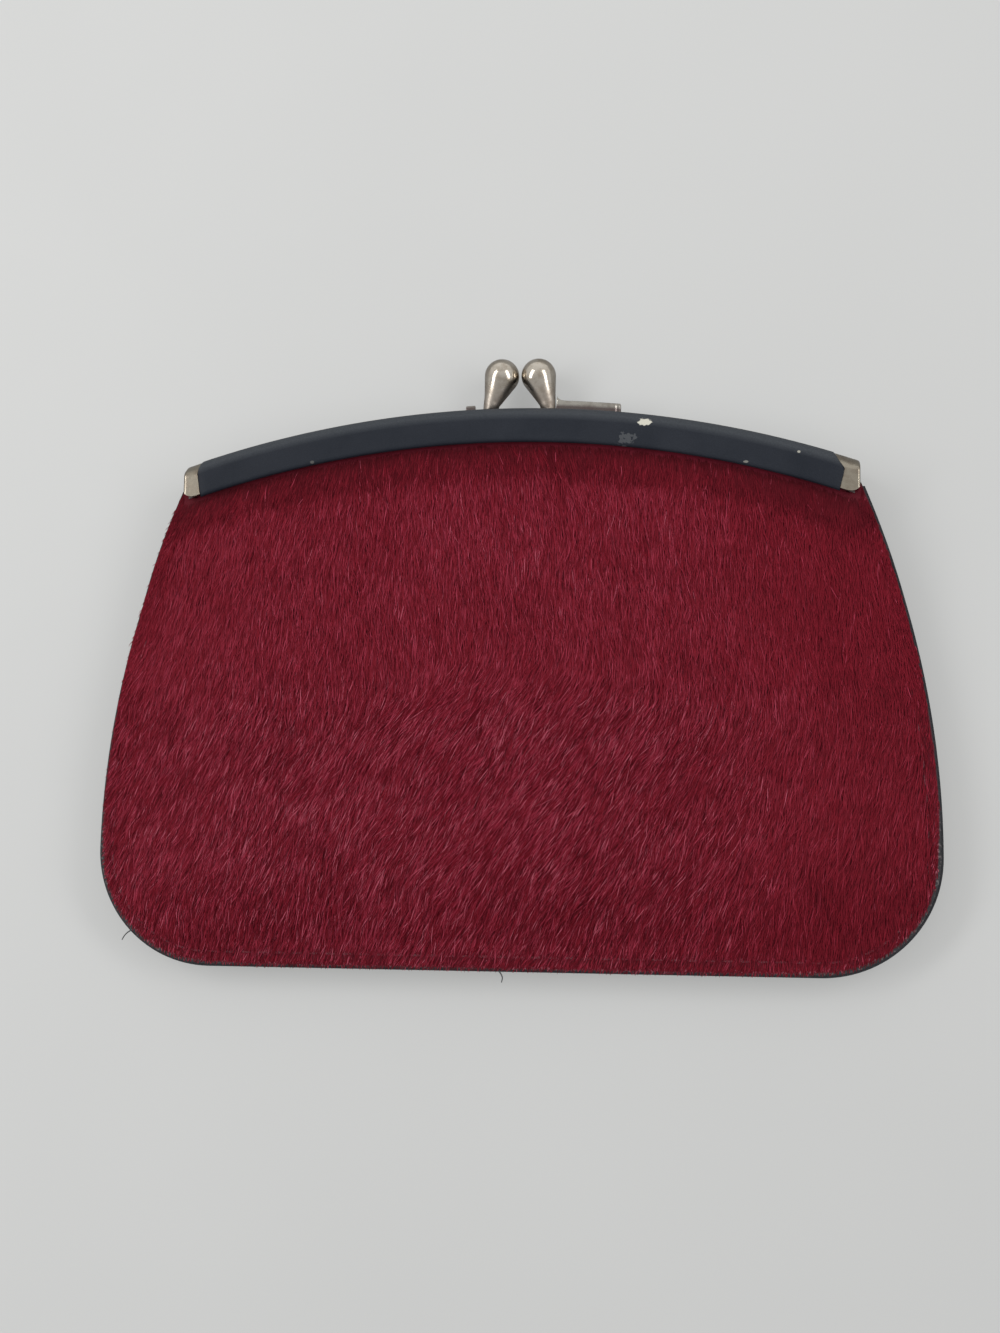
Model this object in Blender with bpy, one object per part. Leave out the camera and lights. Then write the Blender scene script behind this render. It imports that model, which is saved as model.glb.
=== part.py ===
"""Kiss lock wallet, lying on its back: two hair-on hide panels on a leather-clad steel frame.

+X runs across the wallet, +Y from its bottom seam to the clasp and +Z out of its front.
The origin is on the flat of the back panel, on the wallet's centre line. Lengths are in metres.
"""

import math

import bmesh
import bpy
from mathutils import Matrix, Vector

# Clearance between pieces that touch or are glued to each other
GAP = 0.0003
# How far a cutter runs past what it cuts
OVERRUN = 0.002
# Points closer together than this are one point
WELD_DISTANCE = 0.0000001

# Outline of the wallet, seen from the front
BODY_WIDTH = 0.1722
BODY_HEIGHT = 0.1155
CORNER_RADIUS = 0.0240
SHOULDER_OVERHANG = 0.0019

# Frame: two arched steel channels that face each other
FRAME_SPAN = 0.1397
FRAME_RADIUS = 0.214
FRAME_DEPTH = 0.0071
CHANNEL_WALL = 0.0006
CHANNEL_EDGE_ROUND = 0.0018
COVER_THICKNESS = 0.0005
CAP_LENGTH = 0.0041
CAP_WALL = 0.0005
CAP_CORNER_RADIUS = 0.0030
PACKING_CORD_DIAMETER = 0.0009

# Hinge ears, which hang from the frame's ends inside the wallet
HINGE_DROP = 0.020
EAR_THICKNESS = 0.0010
EAR_END_RADIUS = 0.0017
EAR_NECK_WIDTH = 0.0013
HINGE_RIVET_RADIUS = 0.0008
HINGE_HOLE_CLEARANCE = 0.00025
RIVET_HEAD_RADIUS = 0.0015
RIVET_HEAD_THICKNESS = 0.0006
OPENING_ANGLE = math.radians(75)

# Kiss lock: two knobs that snap past each other, each on a steel strip
KNOB_RADIUS = 0.0036
KNOB_SPACING_GAP = 0.0005
KNOB_HEIGHT = 0.0069
KNOB_FOOT_RADIUS = 0.0012
KNOB_LEAN = 0.0024
STRIP_THICKNESS = 0.0008
STRIP_START = 0.0052
STRIP_DEPTH_BELOW_TOP = 0.0043
STRIP_SEAT_RISE = 0.0004
STRIP_SEAT_MARGIN = 0.0009
STRIP_STEP = 0.0005
REAR_STRIP_LENGTH = 0.0159
REAR_BAR_RISE = 0.0024
FRONT_STRIP_LENGTH = 0.0061
FRONT_TAB_LENGTH = 0.0019
FRONT_TAB_RISE = 0.0016
STRIP_RIVET_RADIUS = 0.00055
STRIP_RIVET_HEAD_RADIUS = 0.0010
STRIP_RIVET_HEAD_THICKNESS = 0.0004
STRIP_RIVET_DEPTH = 0.0028

# Layers of the two walls, from the outside in
HIDE_THICKNESS = 0.0013
BOARD_THICKNESS = 0.0008
LINING_THICKNESS = 0.0005
LAYER_GAP = 0.0005
HIDE_INSET = 0.0005
HIDE_INSERTION = 0.0042
SEAM_MARGIN = 0.0054

# Puff of each wall: its hide's inner face above the middle plane, away from the edges
FRONT_PUFF = 0.0047
FRONT_CROWN = 0.0016
FRONT_EDGE_ROLL = 0.024
FRONT_TOP_ROLL = 0.026
REAR_PUFF = 0.0053
REAR_EDGE_ROLL = 0.018
REAR_TOP_ROLL = 0.016

# Gusset, folded inwards between the walls
GUSSET_THICKNESS = 0.0006
GUSSET_SLIT = 0.0004
GUSSET_DEPTH = 0.011
GUSSET_END_DEPTH = 0.0045
GUSSET_TAPER_LENGTH = 0.028

# Strips of leather that line the hide's side edges above the hinges
EDGE_STRIP_WIDTH = 0.0026
EDGE_STRIP_TOP_WIDTH = 0.0014

# Slip pocket on the back lining
POCKET_THICKNESS = 0.0004
POCKET_INSET = 0.022
POCKET_MOUTH_BELOW_HINGE = 0.014
BINDING_WIDTH = 0.0040
BINDING_THICKNESS = 0.0005

# Thread of the seam that joins each hide to the gusset
THREAD_DIAMETER = 0.0005
SEAM_INSET = 0.0030

# Facets
ARCH_STEPS = 28
CORNER_STEPS = 5
ROUND_SIDES = 20
THREAD_SIDES = 6

# Places that follow from the sizes above
BOTTOM_Y = -(BODY_HEIGHT + KNOB_HEIGHT + KNOB_RADIUS) / 2
CORNER_CENTRE_X = BODY_WIDTH / 2 - CORNER_RADIUS
CORNER_CENTRE_Y = BOTTOM_Y + CORNER_RADIUS
ARCH_CENTRE_Y = BOTTOM_Y + BODY_HEIGHT - FRAME_RADIUS
LIP_RADIUS = FRAME_RADIUS - FRAME_DEPTH
SHOULDER_HALF = FRAME_SPAN / 2 + SHOULDER_OVERHANG
SHOULDER_Y = ARCH_CENTRE_Y + math.sqrt(LIP_RADIUS**2 - (FRAME_SPAN / 2) ** 2)
HINGE_Y = SHOULDER_Y - HINGE_DROP
FRAME_TOP_Y = ARCH_CENTRE_Y + FRAME_RADIUS

# Heights above the middle plane, the same for both halves
GUSSET_TOP = GUSSET_SLIT / 2 + GUSSET_THICKNESS
SEAT = GUSSET_TOP + GAP
CHANNEL_IN = STRIP_THICKNESS / 2 + GAP
CORD_IN = CHANNEL_IN + CHANNEL_WALL + GAP
SLOT_SEAT = CORD_IN + PACKING_CORD_DIAMETER + GAP
CHANNEL_OUT = SLOT_SEAT + HIDE_THICKNESS + GAP + CHANNEL_WALL
COVER_IN = CHANNEL_OUT + GAP
COVER_OUT = COVER_IN + COVER_THICKNESS
MIDDLE_Z = max(REAR_PUFF + HIDE_THICKNESS, COVER_OUT)

# Frame ends, from the cap inwards
CAP_START_X = FRAME_SPAN / 2 - CAP_LENGTH
FRONT_EAR_OUT_X = FRAME_SPAN / 2 - CAP_WALL - GAP
REAR_EAR_OUT_X = FRONT_EAR_OUT_X - EAR_THICKNESS - GAP
RIVET_IN_X = REAR_EAR_OUT_X - EAR_THICKNESS - GAP - RIVET_HEAD_THICKNESS
RIVET_OUT_X = FRONT_EAR_OUT_X + GAP + RIVET_HEAD_THICKNESS

HIDE_RED = (0.145, 0.012, 0.022)
COVER_NAVY = (0.026, 0.030, 0.040)
GUSSET_BLACK = (0.022, 0.023, 0.028)
LINING_TAN = (0.30, 0.22, 0.15)
BOARD_GREY = (0.33, 0.30, 0.26)
NICKEL = (0.56, 0.53, 0.48)
STEEL = (0.42, 0.41, 0.39)
THREAD_RED = (0.24, 0.05, 0.07)
PAPER = (0.50, 0.43, 0.32)


class Wall:
    """One wall of the wallet: how far its hide stands off the middle plane."""

    def __init__(self, side, puff, crown, edge_roll, top_roll):
        self.side = side
        self.puff = puff
        self.crown = crown
        self.edge_roll = edge_roll
        self.top_roll = top_roll

    def hide_height(self, x, y):
        """The hide's inner face above the middle plane at a point of the outline."""
        inward = max(edge_distance(x, y) - SEAM_MARGIN, 0)
        below = LIP_RADIUS - math.hypot(x, y - ARCH_CENTRE_Y)
        edge = SLOT_SEAT + (SEAT - SLOT_SEAT) * smooth(below / HINGE_DROP) ** 2
        middle_y = (BOTTOM_Y + SHOULDER_Y) / 2
        across = max(1 - (2 * x / BODY_WIDTH) ** 2, 0)
        along = max(1 - ((y - middle_y) / (SHOULDER_Y - middle_y)) ** 2, 0)
        full = self.puff + self.crown * across * along
        return edge + (full - edge) * roll(inward / self.edge_roll) * roll(below / self.top_roll)


FRONT = Wall(1, FRONT_PUFF, FRONT_CROWN, FRONT_EDGE_ROLL, FRONT_TOP_ROLL)
REAR = Wall(-1, REAR_PUFF, 0, REAR_EDGE_ROLL, REAR_TOP_ROLL)


def clear_scene():
    for obj in list(bpy.data.objects):
        bpy.data.objects.remove(obj, do_unlink=True)


def material(name, colour, roughness, metallic=0.0):
    made = bpy.data.materials.new(name)
    made.use_nodes = True
    shader = made.node_tree.nodes["Principled BSDF"]
    shader.inputs["Base Color"].default_value = (*colour, 1)
    shader.inputs["Roughness"].default_value = roughness
    shader.inputs["Metallic"].default_value = metallic
    return made


def add_object(name, bm, finish, smooth_angle=math.radians(35)):
    """Puts a finished bmesh into the scene as one named object, faces outwards."""
    bmesh.ops.remove_doubles(bm, verts=bm.verts, dist=WELD_DISTANCE)
    bmesh.ops.recalc_face_normals(bm, faces=bm.faces)
    mesh = bpy.data.meshes.new(name)
    bm.to_mesh(mesh)
    bm.free()
    mesh.shade_smooth()
    mesh.set_sharp_from_angle(angle=smooth_angle)
    obj = bpy.data.objects.new(name, mesh)
    bpy.context.scene.collection.objects.link(obj)
    if finish is not None:
        mesh.materials.append(finish)
    return obj


def hide_helper(obj):
    obj.hide_render = True
    obj.display_type = "WIRE"
    return obj


def boolean(obj, helper, operation):
    """Cuts or joins a helper shape, which itself is left out of the part."""
    hide_helper(helper)
    modifier = obj.modifiers.new(helper.name, "BOOLEAN")
    modifier.operation = operation
    modifier.solver = "EXACT"
    modifier.object = helper


def clip(bm, point, normal):
    """Cuts away what lies beyond a plane and closes the cut."""
    geometry = bm.verts[:] + bm.edges[:] + bm.faces[:]
    bmesh.ops.bisect_plane(bm, geom=geometry, plane_co=point, plane_no=normal, clear_outer=True)
    rim = [edge for edge in bm.edges if edge.is_boundary]
    bmesh.ops.holes_fill(bm, edges=rim, sides=0)


# Outline and heights

def smooth(share):
    """Eases from 0 to 1, flat at both ends."""
    share = min(max(share, 0), 1)
    return share * share * (3 - 2 * share)


def roll(share):
    """Rises from 0 to 1 like the side of a cushion: steep first, then level."""
    share = min(max(share, 0), 1)
    return 1 - (1 - share) ** 2


def side_curve(y):
    """(half width, slope) of the wallet's side above its bottom corners."""
    run = SHOULDER_Y - CORNER_CENTRE_Y
    narrowing = BODY_WIDTH / 2 - SHOULDER_HALF
    share = max(y - CORNER_CENTRE_Y, 0) / run
    return BODY_WIDTH / 2 - narrowing * share**2, -2 * narrowing * share / run


def half_width(y, inset):
    """Half the width of the outline, drawn in by inset, at height y above the corners."""
    width, slope = side_curve(y)
    return width - inset * math.hypot(1, slope)


def edge_distance(x, y):
    """Distance from the wallet's side or bottom edge."""
    x = abs(x)
    if x > CORNER_CENTRE_X and y < CORNER_CENTRE_Y:
        return CORNER_RADIUS - math.hypot(x - CORNER_CENTRE_X, y - CORNER_CENTRE_Y)
    width, slope = side_curve(y)
    return min((width - x) / math.hypot(1, slope), y - BOTTOM_Y)


def arch_y(x, radius):
    return ARCH_CENTRE_Y + math.sqrt(radius**2 - x**2)


def outline_path(inset, top_y):
    """Points and inward directions round the wallet, from its left side at top_y to its right."""
    right = []
    side_steps = 7
    for k in range(side_steps):
        y = top_y + (CORNER_CENTRE_Y - top_y) * k / side_steps
        _, slope = side_curve(y)
        inward = Vector((-1, slope)).normalized()
        right.append((Vector((half_width(y, inset), y)), inward))
    corner_steps = 2 * CORNER_STEPS
    for k in range(corner_steps + 1):
        angle = math.pi / 2 * k / corner_steps
        outward = Vector((math.cos(angle), -math.sin(angle)))
        centre = Vector((CORNER_CENTRE_X, CORNER_CENTRE_Y))
        right.append((centre + outward * (CORNER_RADIUS - inset), -outward))
    bottom_steps = 3
    for k in range(1, bottom_steps):
        x = CORNER_CENTRE_X * (1 - k / bottom_steps)
        right.append((Vector((x, BOTTOM_Y + inset)), Vector((0, 1))))
    middle = [(Vector((0, BOTTOM_Y + inset)), Vector((0, 1)))]
    left = [(Vector((-p.x, p.y)), Vector((-n.x, n.y))) for p, n in right]
    return left + middle + right[::-1]


# Sheets: hides, boards, linings and the pocket

SHEET_COLUMN_SHARES = (0, 0.18, 0.35, 0.51, 0.65, 0.77, 0.87, 0.945, 1)
INNER_COLUMN_SHARES = (0, 0.24, 0.46, 0.66, 0.84, 1)


def mirrored(shares):
    return [-share for share in shares[:0:-1]] + list(shares)


def sheet_rows(inset, shares, top_gap, level_rows, arched_rows):
    """Rows of (x, y) over the outline: straight at the bottom, bent to the arch at the top."""
    columns = mirrored(shares)
    rows = []
    for k in range(CORNER_STEPS):
        angle = math.pi / 2 * k / CORNER_STEPS
        y = CORNER_CENTRE_Y - (CORNER_RADIUS - inset) * math.cos(angle)
        half = CORNER_CENTRE_X + (CORNER_RADIUS - inset) * math.sin(angle)
        rows.append([(half * c, y) for c in columns])
    level_top = (CORNER_CENTRE_Y + HINGE_Y) / 2
    for k in range(level_rows):
        y = CORNER_CENTRE_Y + (level_top - CORNER_CENTRE_Y) * k / level_rows
        rows.append([(half_width(y, inset) * c, y) for c in columns])
    for k in range(arched_rows + 1):
        share = k / arched_rows
        side_y = level_top + (SHOULDER_Y - top_gap - level_top) * share
        half = half_width(side_y, inset)
        row = []
        for c in columns:
            top = arch_y(half * c, LIP_RADIUS - top_gap)
            row.append((half * c, level_top + (top - level_top) * share))
        rows.append(row)
    return rows


def inserted_rows(shares):
    """Rows of the hide's top edge inside the channel, from the lip up."""
    half = FRONT_EAR_OUT_X - EAR_THICKNESS - GAP
    rows = []
    for depth in (0, HIDE_INSERTION / 2, HIDE_INSERTION):
        row = [(half * c, arch_y(half * c, LIP_RADIUS + depth)) for c in mirrored(shares)]
        rows.append(row)
    return rows


def sheet_mesh(rows, wall, offset, thickness):
    """A sheet of even thickness that lies offset inside the hide's inner face."""
    bm = bmesh.new()
    grids = []
    for shift in (offset, offset - thickness):
        grid = []
        for row in rows:
            heights = [wall.hide_height(x, y) - shift for x, y in row]
            grid.append(
                [bm.verts.new((x, y, MIDDLE_Z + wall.side * z)) for (x, y), z in zip(row, heights)]
            )
        grids.append(grid)
    last_row = len(rows) - 1
    last_column = len(rows[0]) - 1
    for grid in grids:
        for j in range(last_row):
            for i in range(last_column):
                bm.faces.new((grid[j][i], grid[j][i + 1], grid[j + 1][i + 1], grid[j + 1][i]))
    below, above = grids
    for i in range(last_column):
        for j in (0, last_row):
            bm.faces.new((below[j][i], below[j][i + 1], above[j][i + 1], above[j][i]))
    for j in range(last_row):
        for i in (0, last_column):
            bm.faces.new((below[j][i], below[j + 1][i], above[j + 1][i], above[j][i]))
    bmesh.ops.recalc_face_normals(bm, faces=bm.faces)
    return bm


BOARD_OFFSET = LAYER_GAP + BOARD_THICKNESS
LINING_OFFSET = BOARD_OFFSET + GAP + LINING_THICKNESS


def inner_inset():
    """How far boards and linings stay inside the outline, to clear the rivets and the gusset."""
    half, slope = side_curve(HINGE_Y)
    past_rivets = (half - RIVET_IN_X + GAP) / math.hypot(1, slope)
    return max(past_rivets, GUSSET_DEPTH) + GAP


def hide_rows():
    rows = sheet_rows(HIDE_INSET, SHEET_COLUMN_SHARES, 2 * GAP, 4, 6)
    return rows + inserted_rows(SHEET_COLUMN_SHARES)


def inner_rows():
    return sheet_rows(inner_inset(), INNER_COLUMN_SHARES, CHANNEL_WALL + GAP, 3, 5)


def fold_plane(part):
    """(point, normal) of a side of the wedge that is free to fold; part is 1 above it, -1 below."""
    half_angle = OPENING_ANGLE / 2
    normal = Vector((0, -part * math.cos(half_angle), math.sin(half_angle)))
    point = Vector((0, HINGE_Y, MIDDLE_Z)) - normal * GAP
    return point, normal


def fold_clip(bm, zone):
    """Keeps one zone of a front sheet: lower, fold or upper."""
    if zone == "lower":
        point, normal = fold_plane(-1)
        clip(bm, point, normal)
    elif zone == "upper":
        point, normal = fold_plane(1)
        clip(bm, point, normal)
    else:
        for part in (-1, 1):
            point, normal = fold_plane(part)
            clip(bm, point + normal * GAP, -normal)


def front_sheet(name, zone, rows, offset, thickness, finish):
    bm = sheet_mesh(rows, FRONT, offset, thickness)
    fold_clip(bm, zone)
    return add_object(name, bm, finish)


def walls(finishes):
    """Hides, boards and linings. The front ones are free to fold along the hinge line."""
    for zone in ("lower", "fold", "upper"):
        front_sheet(f"front_hide_{zone}", zone, hide_rows(), 0, HIDE_THICKNESS, finishes["hide"])
        front_sheet(
            f"front_lining_{zone}", zone, inner_rows(), LINING_OFFSET, LINING_THICKNESS, finishes["lining"]
        )
    for zone in ("lower", "upper"):
        front_sheet(
            f"front_board_{zone}", zone, inner_rows(), BOARD_OFFSET, BOARD_THICKNESS, finishes["board"]
        )
    add_object("rear_hide", sheet_mesh(hide_rows(), REAR, 0, HIDE_THICKNESS), finishes["hide"])
    board = sheet_mesh(inner_rows(), REAR, BOARD_OFFSET, BOARD_THICKNESS)
    add_object("rear_board", board, finishes["board"])
    lining = sheet_mesh(inner_rows(), REAR, LINING_OFFSET, LINING_THICKNESS)
    add_object("rear_lining", lining, finishes["lining"])


def pocket(finishes):
    """Slip pocket on the back lining, with a leather binding along its mouth."""
    mouth_y = HINGE_Y - POCKET_MOUTH_BELOW_HINGE
    pocket_offset = LINING_OFFSET + GAP + POCKET_THICKNESS
    rows = sheet_rows(POCKET_INSET, INNER_COLUMN_SHARES, CHANNEL_WALL + GAP, 3, 5)
    bm = sheet_mesh(rows, REAR, pocket_offset, POCKET_THICKNESS)
    clip(bm, Vector((0, mouth_y, 0)), Vector((0, 1, 0)))
    add_object("pocket", bm, finishes["lining"])
    binding_offset = pocket_offset + GAP + BINDING_THICKNESS
    bm = sheet_mesh(rows, REAR, binding_offset, BINDING_THICKNESS)
    clip(bm, Vector((0, mouth_y, 0)), Vector((0, 1, 0)))
    clip(bm, Vector((0, mouth_y - BINDING_WIDTH, 0)), Vector((0, -1, 0)))
    add_object("pocket_binding", bm, finishes["gusset"])


# Gusset and seams

def gusset(finish):
    """A leather band folded inwards, in one length round the sides and the bottom."""
    top_y = HINGE_Y - EAR_END_RADIUS - GAP
    path = outline_path(0, top_y)
    lengths = [0.0]
    for (a, _), (b, _) in zip(path, path[1:]):
        lengths.append(lengths[-1] + (b - a).length)
    bm = bmesh.new()
    rings = []
    leaf_in = GUSSET_SLIT / 2
    for (point, inward), length in zip(path, lengths):
        from_end = min(length, lengths[-1] - length)
        grown = smooth(from_end / GUSSET_TAPER_LENGTH)
        depth = GUSSET_END_DEPTH + (GUSSET_DEPTH - GUSSET_END_DEPTH) * grown
        slit_depth = depth - GUSSET_THICKNESS
        section = (
            (0, leaf_in), (0, GUSSET_TOP), (slit_depth, GUSSET_TOP), (depth, leaf_in),
            (depth, -leaf_in), (slit_depth, -GUSSET_TOP), (0, -GUSSET_TOP), (0, -leaf_in),
            (slit_depth, -leaf_in), (slit_depth, leaf_in),
        )
        ring = []
        for n, z in section:
            at = point + inward * n
            ring.append(bm.verts.new((at.x, at.y, MIDDLE_Z + z)))
        rings.append(ring)
    bridge_rings(bm, rings)
    add_object("gusset", bm, finish)


def edge_strip(name, wall, way, finish):
    """Lines a hide's side edge from the hinge to the frame; way is 1 right and -1 left."""
    low_y = HINGE_Y - EAR_END_RADIUS + GAP
    high_y = SHOULDER_Y - 2 * GAP
    beside_rivet = half_width(HINGE_Y, GAP) - RIVET_OUT_X
    foot_width = min(EDGE_STRIP_WIDTH, beside_rivet)
    steps = 6
    bm = bmesh.new()
    rings = []
    for k in range(steps + 1):
        share = k / steps
        y = low_y + (high_y - low_y) * share
        width = foot_width + (EDGE_STRIP_TOP_WIDTH - foot_width) * share
        ring = []
        for inset, sunk in ((0, 0), (width, 0), (width, 1), (0, 1)):
            x = half_width(y, inset)
            height = wall.hide_height(x, y) - GAP - GUSSET_THICKNESS * sunk
            ring.append(bm.verts.new((way * x, y, MIDDLE_Z + wall.side * height)))
        rings.append(ring)
    bridge_rings(bm, rings)
    if wall.side > 0:
        bmesh.ops.recalc_face_normals(bm, faces=bm.faces)
        fold_clip(bm, "upper")
    add_object(name, bm, finish)


def bridge_rings(bm, rings):
    """Skins a row of matching rings and closes its two ends."""
    count = len(rings[0])
    for a, b in zip(rings, rings[1:]):
        for k in range(count):
            bm.faces.new((a[k], a[(k + 1) % count], b[(k + 1) % count], b[k]))
    bm.faces.new(rings[0])
    bm.faces.new(rings[-1][::-1])


def tube(name, points, diameter, sides, finish):
    """A round thread or cord along points, its ends square."""
    bm = bmesh.new()
    rings = []
    for k, point in enumerate(points):
        before = points[max(k - 1, 0)]
        after = points[min(k + 1, len(points) - 1)]
        along = (after - before).normalized()
        across = along.cross(Vector((0, 0, 1))).normalized()
        rise = across.cross(along)
        ring = []
        for s in range(sides):
            angle = 2 * math.pi * s / sides
            outward = across * math.cos(angle) + rise * math.sin(angle)
            ring.append(bm.verts.new(point + outward * diameter / 2))
        rings.append(ring)
    bridge_rings(bm, rings)
    add_object(name, bm, finish)


def seam_thread(name, wall, finish):
    """The seam's thread lies on the hide, from hinge line to hinge line round the bottom."""
    fold_reach = math.tan(OPENING_ANGLE / 2) * (SEAT + HIDE_THICKNESS + GAP + THREAD_DIAMETER)
    path = outline_path(SEAM_INSET, HINGE_Y - fold_reach - 2 * GAP)
    points = []
    for point, _ in path:
        height = wall.hide_height(point.x, point.y) + HIDE_THICKNESS + GAP + THREAD_DIAMETER / 2
        points.append(Vector((point.x, point.y, MIDDLE_Z + wall.side * height)))
    tube(name, points, THREAD_DIAMETER, THREAD_SIDES, finish)


# Frame

def arch_sweep(section, side):
    """A section of (radius, height above the middle plane) carried round the arch and past its ends."""
    bm = bmesh.new()
    reach = math.asin((FRAME_SPAN / 2 + OVERRUN) / LIP_RADIUS)
    rings = []
    for k in range(ARCH_STEPS + 1):
        angle = reach * (2 * k / ARCH_STEPS - 1)
        ring = []
        for radius, height in section:
            x = radius * math.sin(angle)
            y = ARCH_CENTRE_Y + radius * math.cos(angle)
            ring.append(bm.verts.new((x, y, MIDDLE_Z + side * height)))
        rings.append(ring)
    bridge_rings(bm, rings)
    bmesh.ops.recalc_face_normals(bm, faces=bm.faces)
    return bm


def clip_ends(bm, half_length):
    for way in (-1, 1):
        clip(bm, Vector((way * half_length, 0, 0)), Vector((way, 0, 0)))


def rounded_corner(radius_out, height_out, rounding):
    """Points of the rounded edge between the front face and the top of the frame."""
    points = []
    steps = 3
    for k in range(steps + 1):
        angle = math.pi / 2 * k / steps
        points.append(
            (
                radius_out - rounding + rounding * math.sin(angle),
                height_out - rounding + rounding * math.cos(angle),
            )
        )
    return points


def channel_section():
    """The steel channel: a U that opens downwards and takes the hide's edge."""
    top = FRAME_RADIUS - COVER_THICKNESS - GAP
    rounding = CHANNEL_EDGE_ROUND
    inner = rounding - CHANNEL_WALL
    outside = rounded_corner(top, CHANNEL_OUT, rounding)
    inside = rounded_corner(top - CHANNEL_WALL, CHANNEL_OUT - CHANNEL_WALL, inner)[::-1]
    return (
        [(LIP_RADIUS, CHANNEL_OUT)]
        + outside
        + [(top, CHANNEL_IN), (LIP_RADIUS, CHANNEL_IN), (LIP_RADIUS, CHANNEL_IN + CHANNEL_WALL)]
        + [(top - CHANNEL_WALL, CHANNEL_IN + CHANNEL_WALL)]
        + inside
        + [(LIP_RADIUS, CHANNEL_OUT - CHANNEL_WALL)]
    )


def cover_section(thickness):
    """A skin on the channel's front face and top."""
    rounding = CHANNEL_EDGE_ROUND + GAP + COVER_THICKNESS
    outside = rounded_corner(FRAME_RADIUS, COVER_OUT, rounding)
    inside = rounded_corner(FRAME_RADIUS - thickness, COVER_OUT - thickness, rounding - thickness)[::-1]
    return (
        [(LIP_RADIUS, COVER_OUT)]
        + outside
        + [(FRAME_RADIUS, CHANNEL_IN), (FRAME_RADIUS - thickness, CHANNEL_IN)]
        + inside
        + [(LIP_RADIUS, COVER_OUT - thickness)]
    )


def ear_outline():
    """(y, height) points of a hinge ear: a neck in the channel's end that widens to a round eye."""
    neck_low = CHANNEL_IN + CHANNEL_WALL / 4
    neck_high = CHANNEL_IN + EAR_NECK_WIDTH
    neck_top = SHOULDER_Y + FRAME_DEPTH / 2
    points = [(neck_top, neck_high), (neck_top, neck_low), (SHOULDER_Y, neck_low)]
    steps = 12
    for k in range(steps + 1):
        angle = math.pi * (1 + k / steps)
        points.append(
            (
                HINGE_Y + EAR_END_RADIUS * math.sin(angle),
                EAR_END_RADIUS * math.cos(angle),
            )
        )
    points.append((SHOULDER_Y, neck_high))
    return points


def ear(name, side, way, out_x):
    """One ear as a plate square to the hinge axis; way is 1 on the right and -1 on the left."""
    bm = bmesh.new()
    faces = []
    for x in (out_x - EAR_THICKNESS, out_x):
        ring = [bm.verts.new((way * x, y, MIDDLE_Z + side * z)) for y, z in ear_outline()]
        faces.append(ring)
    bridge_rings(bm, faces)
    return add_object(name, bm, None)


def x_cylinder(name, radius, x_from, x_to, way, sides=ROUND_SIDES):
    """A round bar on the hinge axis."""
    bm = bmesh.new()
    rings = []
    for x in (x_from, x_to):
        ring = []
        for s in range(sides):
            angle = 2 * math.pi * s / sides
            y = HINGE_Y + radius * math.cos(angle)
            ring.append(bm.verts.new((way * x, y, MIDDLE_Z + radius * math.sin(angle))))
        rings.append(ring)
    bridge_rings(bm, rings)
    return add_object(name, bm, None)


def z_cylinder(name, radius, x, y, z_from, z_to, sides=ROUND_SIDES):
    bm = bmesh.new()
    rings = []
    for z in (z_from, z_to):
        ring = []
        for s in range(sides):
            angle = 2 * math.pi * s / sides
            ring.append(bm.verts.new((x + radius * math.cos(angle), y + radius * math.sin(angle), z)))
        rings.append(ring)
    bridge_rings(bm, rings)
    return add_object(name, bm, None)


RIVET_PLACE_SHARES = (0.26, 0.74)


def strip_rivet_places(half):
    """(x, y) of the rivets that hold a half's clasp strip."""
    if half == "front":
        length, way = FRONT_STRIP_LENGTH, -1
    else:
        length, way = REAR_STRIP_LENGTH, 1
    places = []
    for share in RIVET_PLACE_SHARES:
        x = way * (STRIP_START + length * share)
        places.append((x, arch_y(x, FRAME_RADIUS) - STRIP_RIVET_DEPTH))
    return places


def frame_half(half, side, ear_out_x, finishes):
    """One steel channel with its two hinge ears, its cladding, end caps and packing cord."""
    bm = arch_sweep(channel_section(), side)
    clip_ends(bm, ear_out_x - GAP)
    frame = add_object(f"{half}_frame", bm, finishes["steel"])
    for word, way in (("left", -1), ("right", 1)):
        boolean(frame, ear(f"{half}_{word}_ear", side, way, ear_out_x), "UNION")
        hole = x_cylinder(
            f"{half}_{word}_eye", HINGE_RIVET_RADIUS + HINGE_HOLE_CLEARANCE,
            ear_out_x - EAR_THICKNESS - OVERRUN, ear_out_x + OVERRUN, way,
        )
        boolean(frame, hole, "DIFFERENCE")
        cap(f"{half}_{word}_cap", side, way, finishes["nickel"])
    for number, (x, y) in enumerate(strip_rivet_places(half), 1):
        wall_in = MIDDLE_Z + side * (CHANNEL_IN - GAP)
        wall_out = MIDDLE_Z + side * (CHANNEL_IN + CHANNEL_WALL + GAP)
        hole = z_cylinder(
            f"{half}_frame_rivet_hole_{number}", STRIP_RIVET_RADIUS + GAP, x, y,
            min(wall_in, wall_out), max(wall_in, wall_out),
        )
        boolean(frame, hole, "DIFFERENCE")
    bm = arch_sweep(cover_section(COVER_THICKNESS), side)
    clip_ends(bm, CAP_START_X)
    add_object(f"{half}_frame_cover", bm, finishes["cover"])
    packing_cord(half, side, finishes["paper"])


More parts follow.
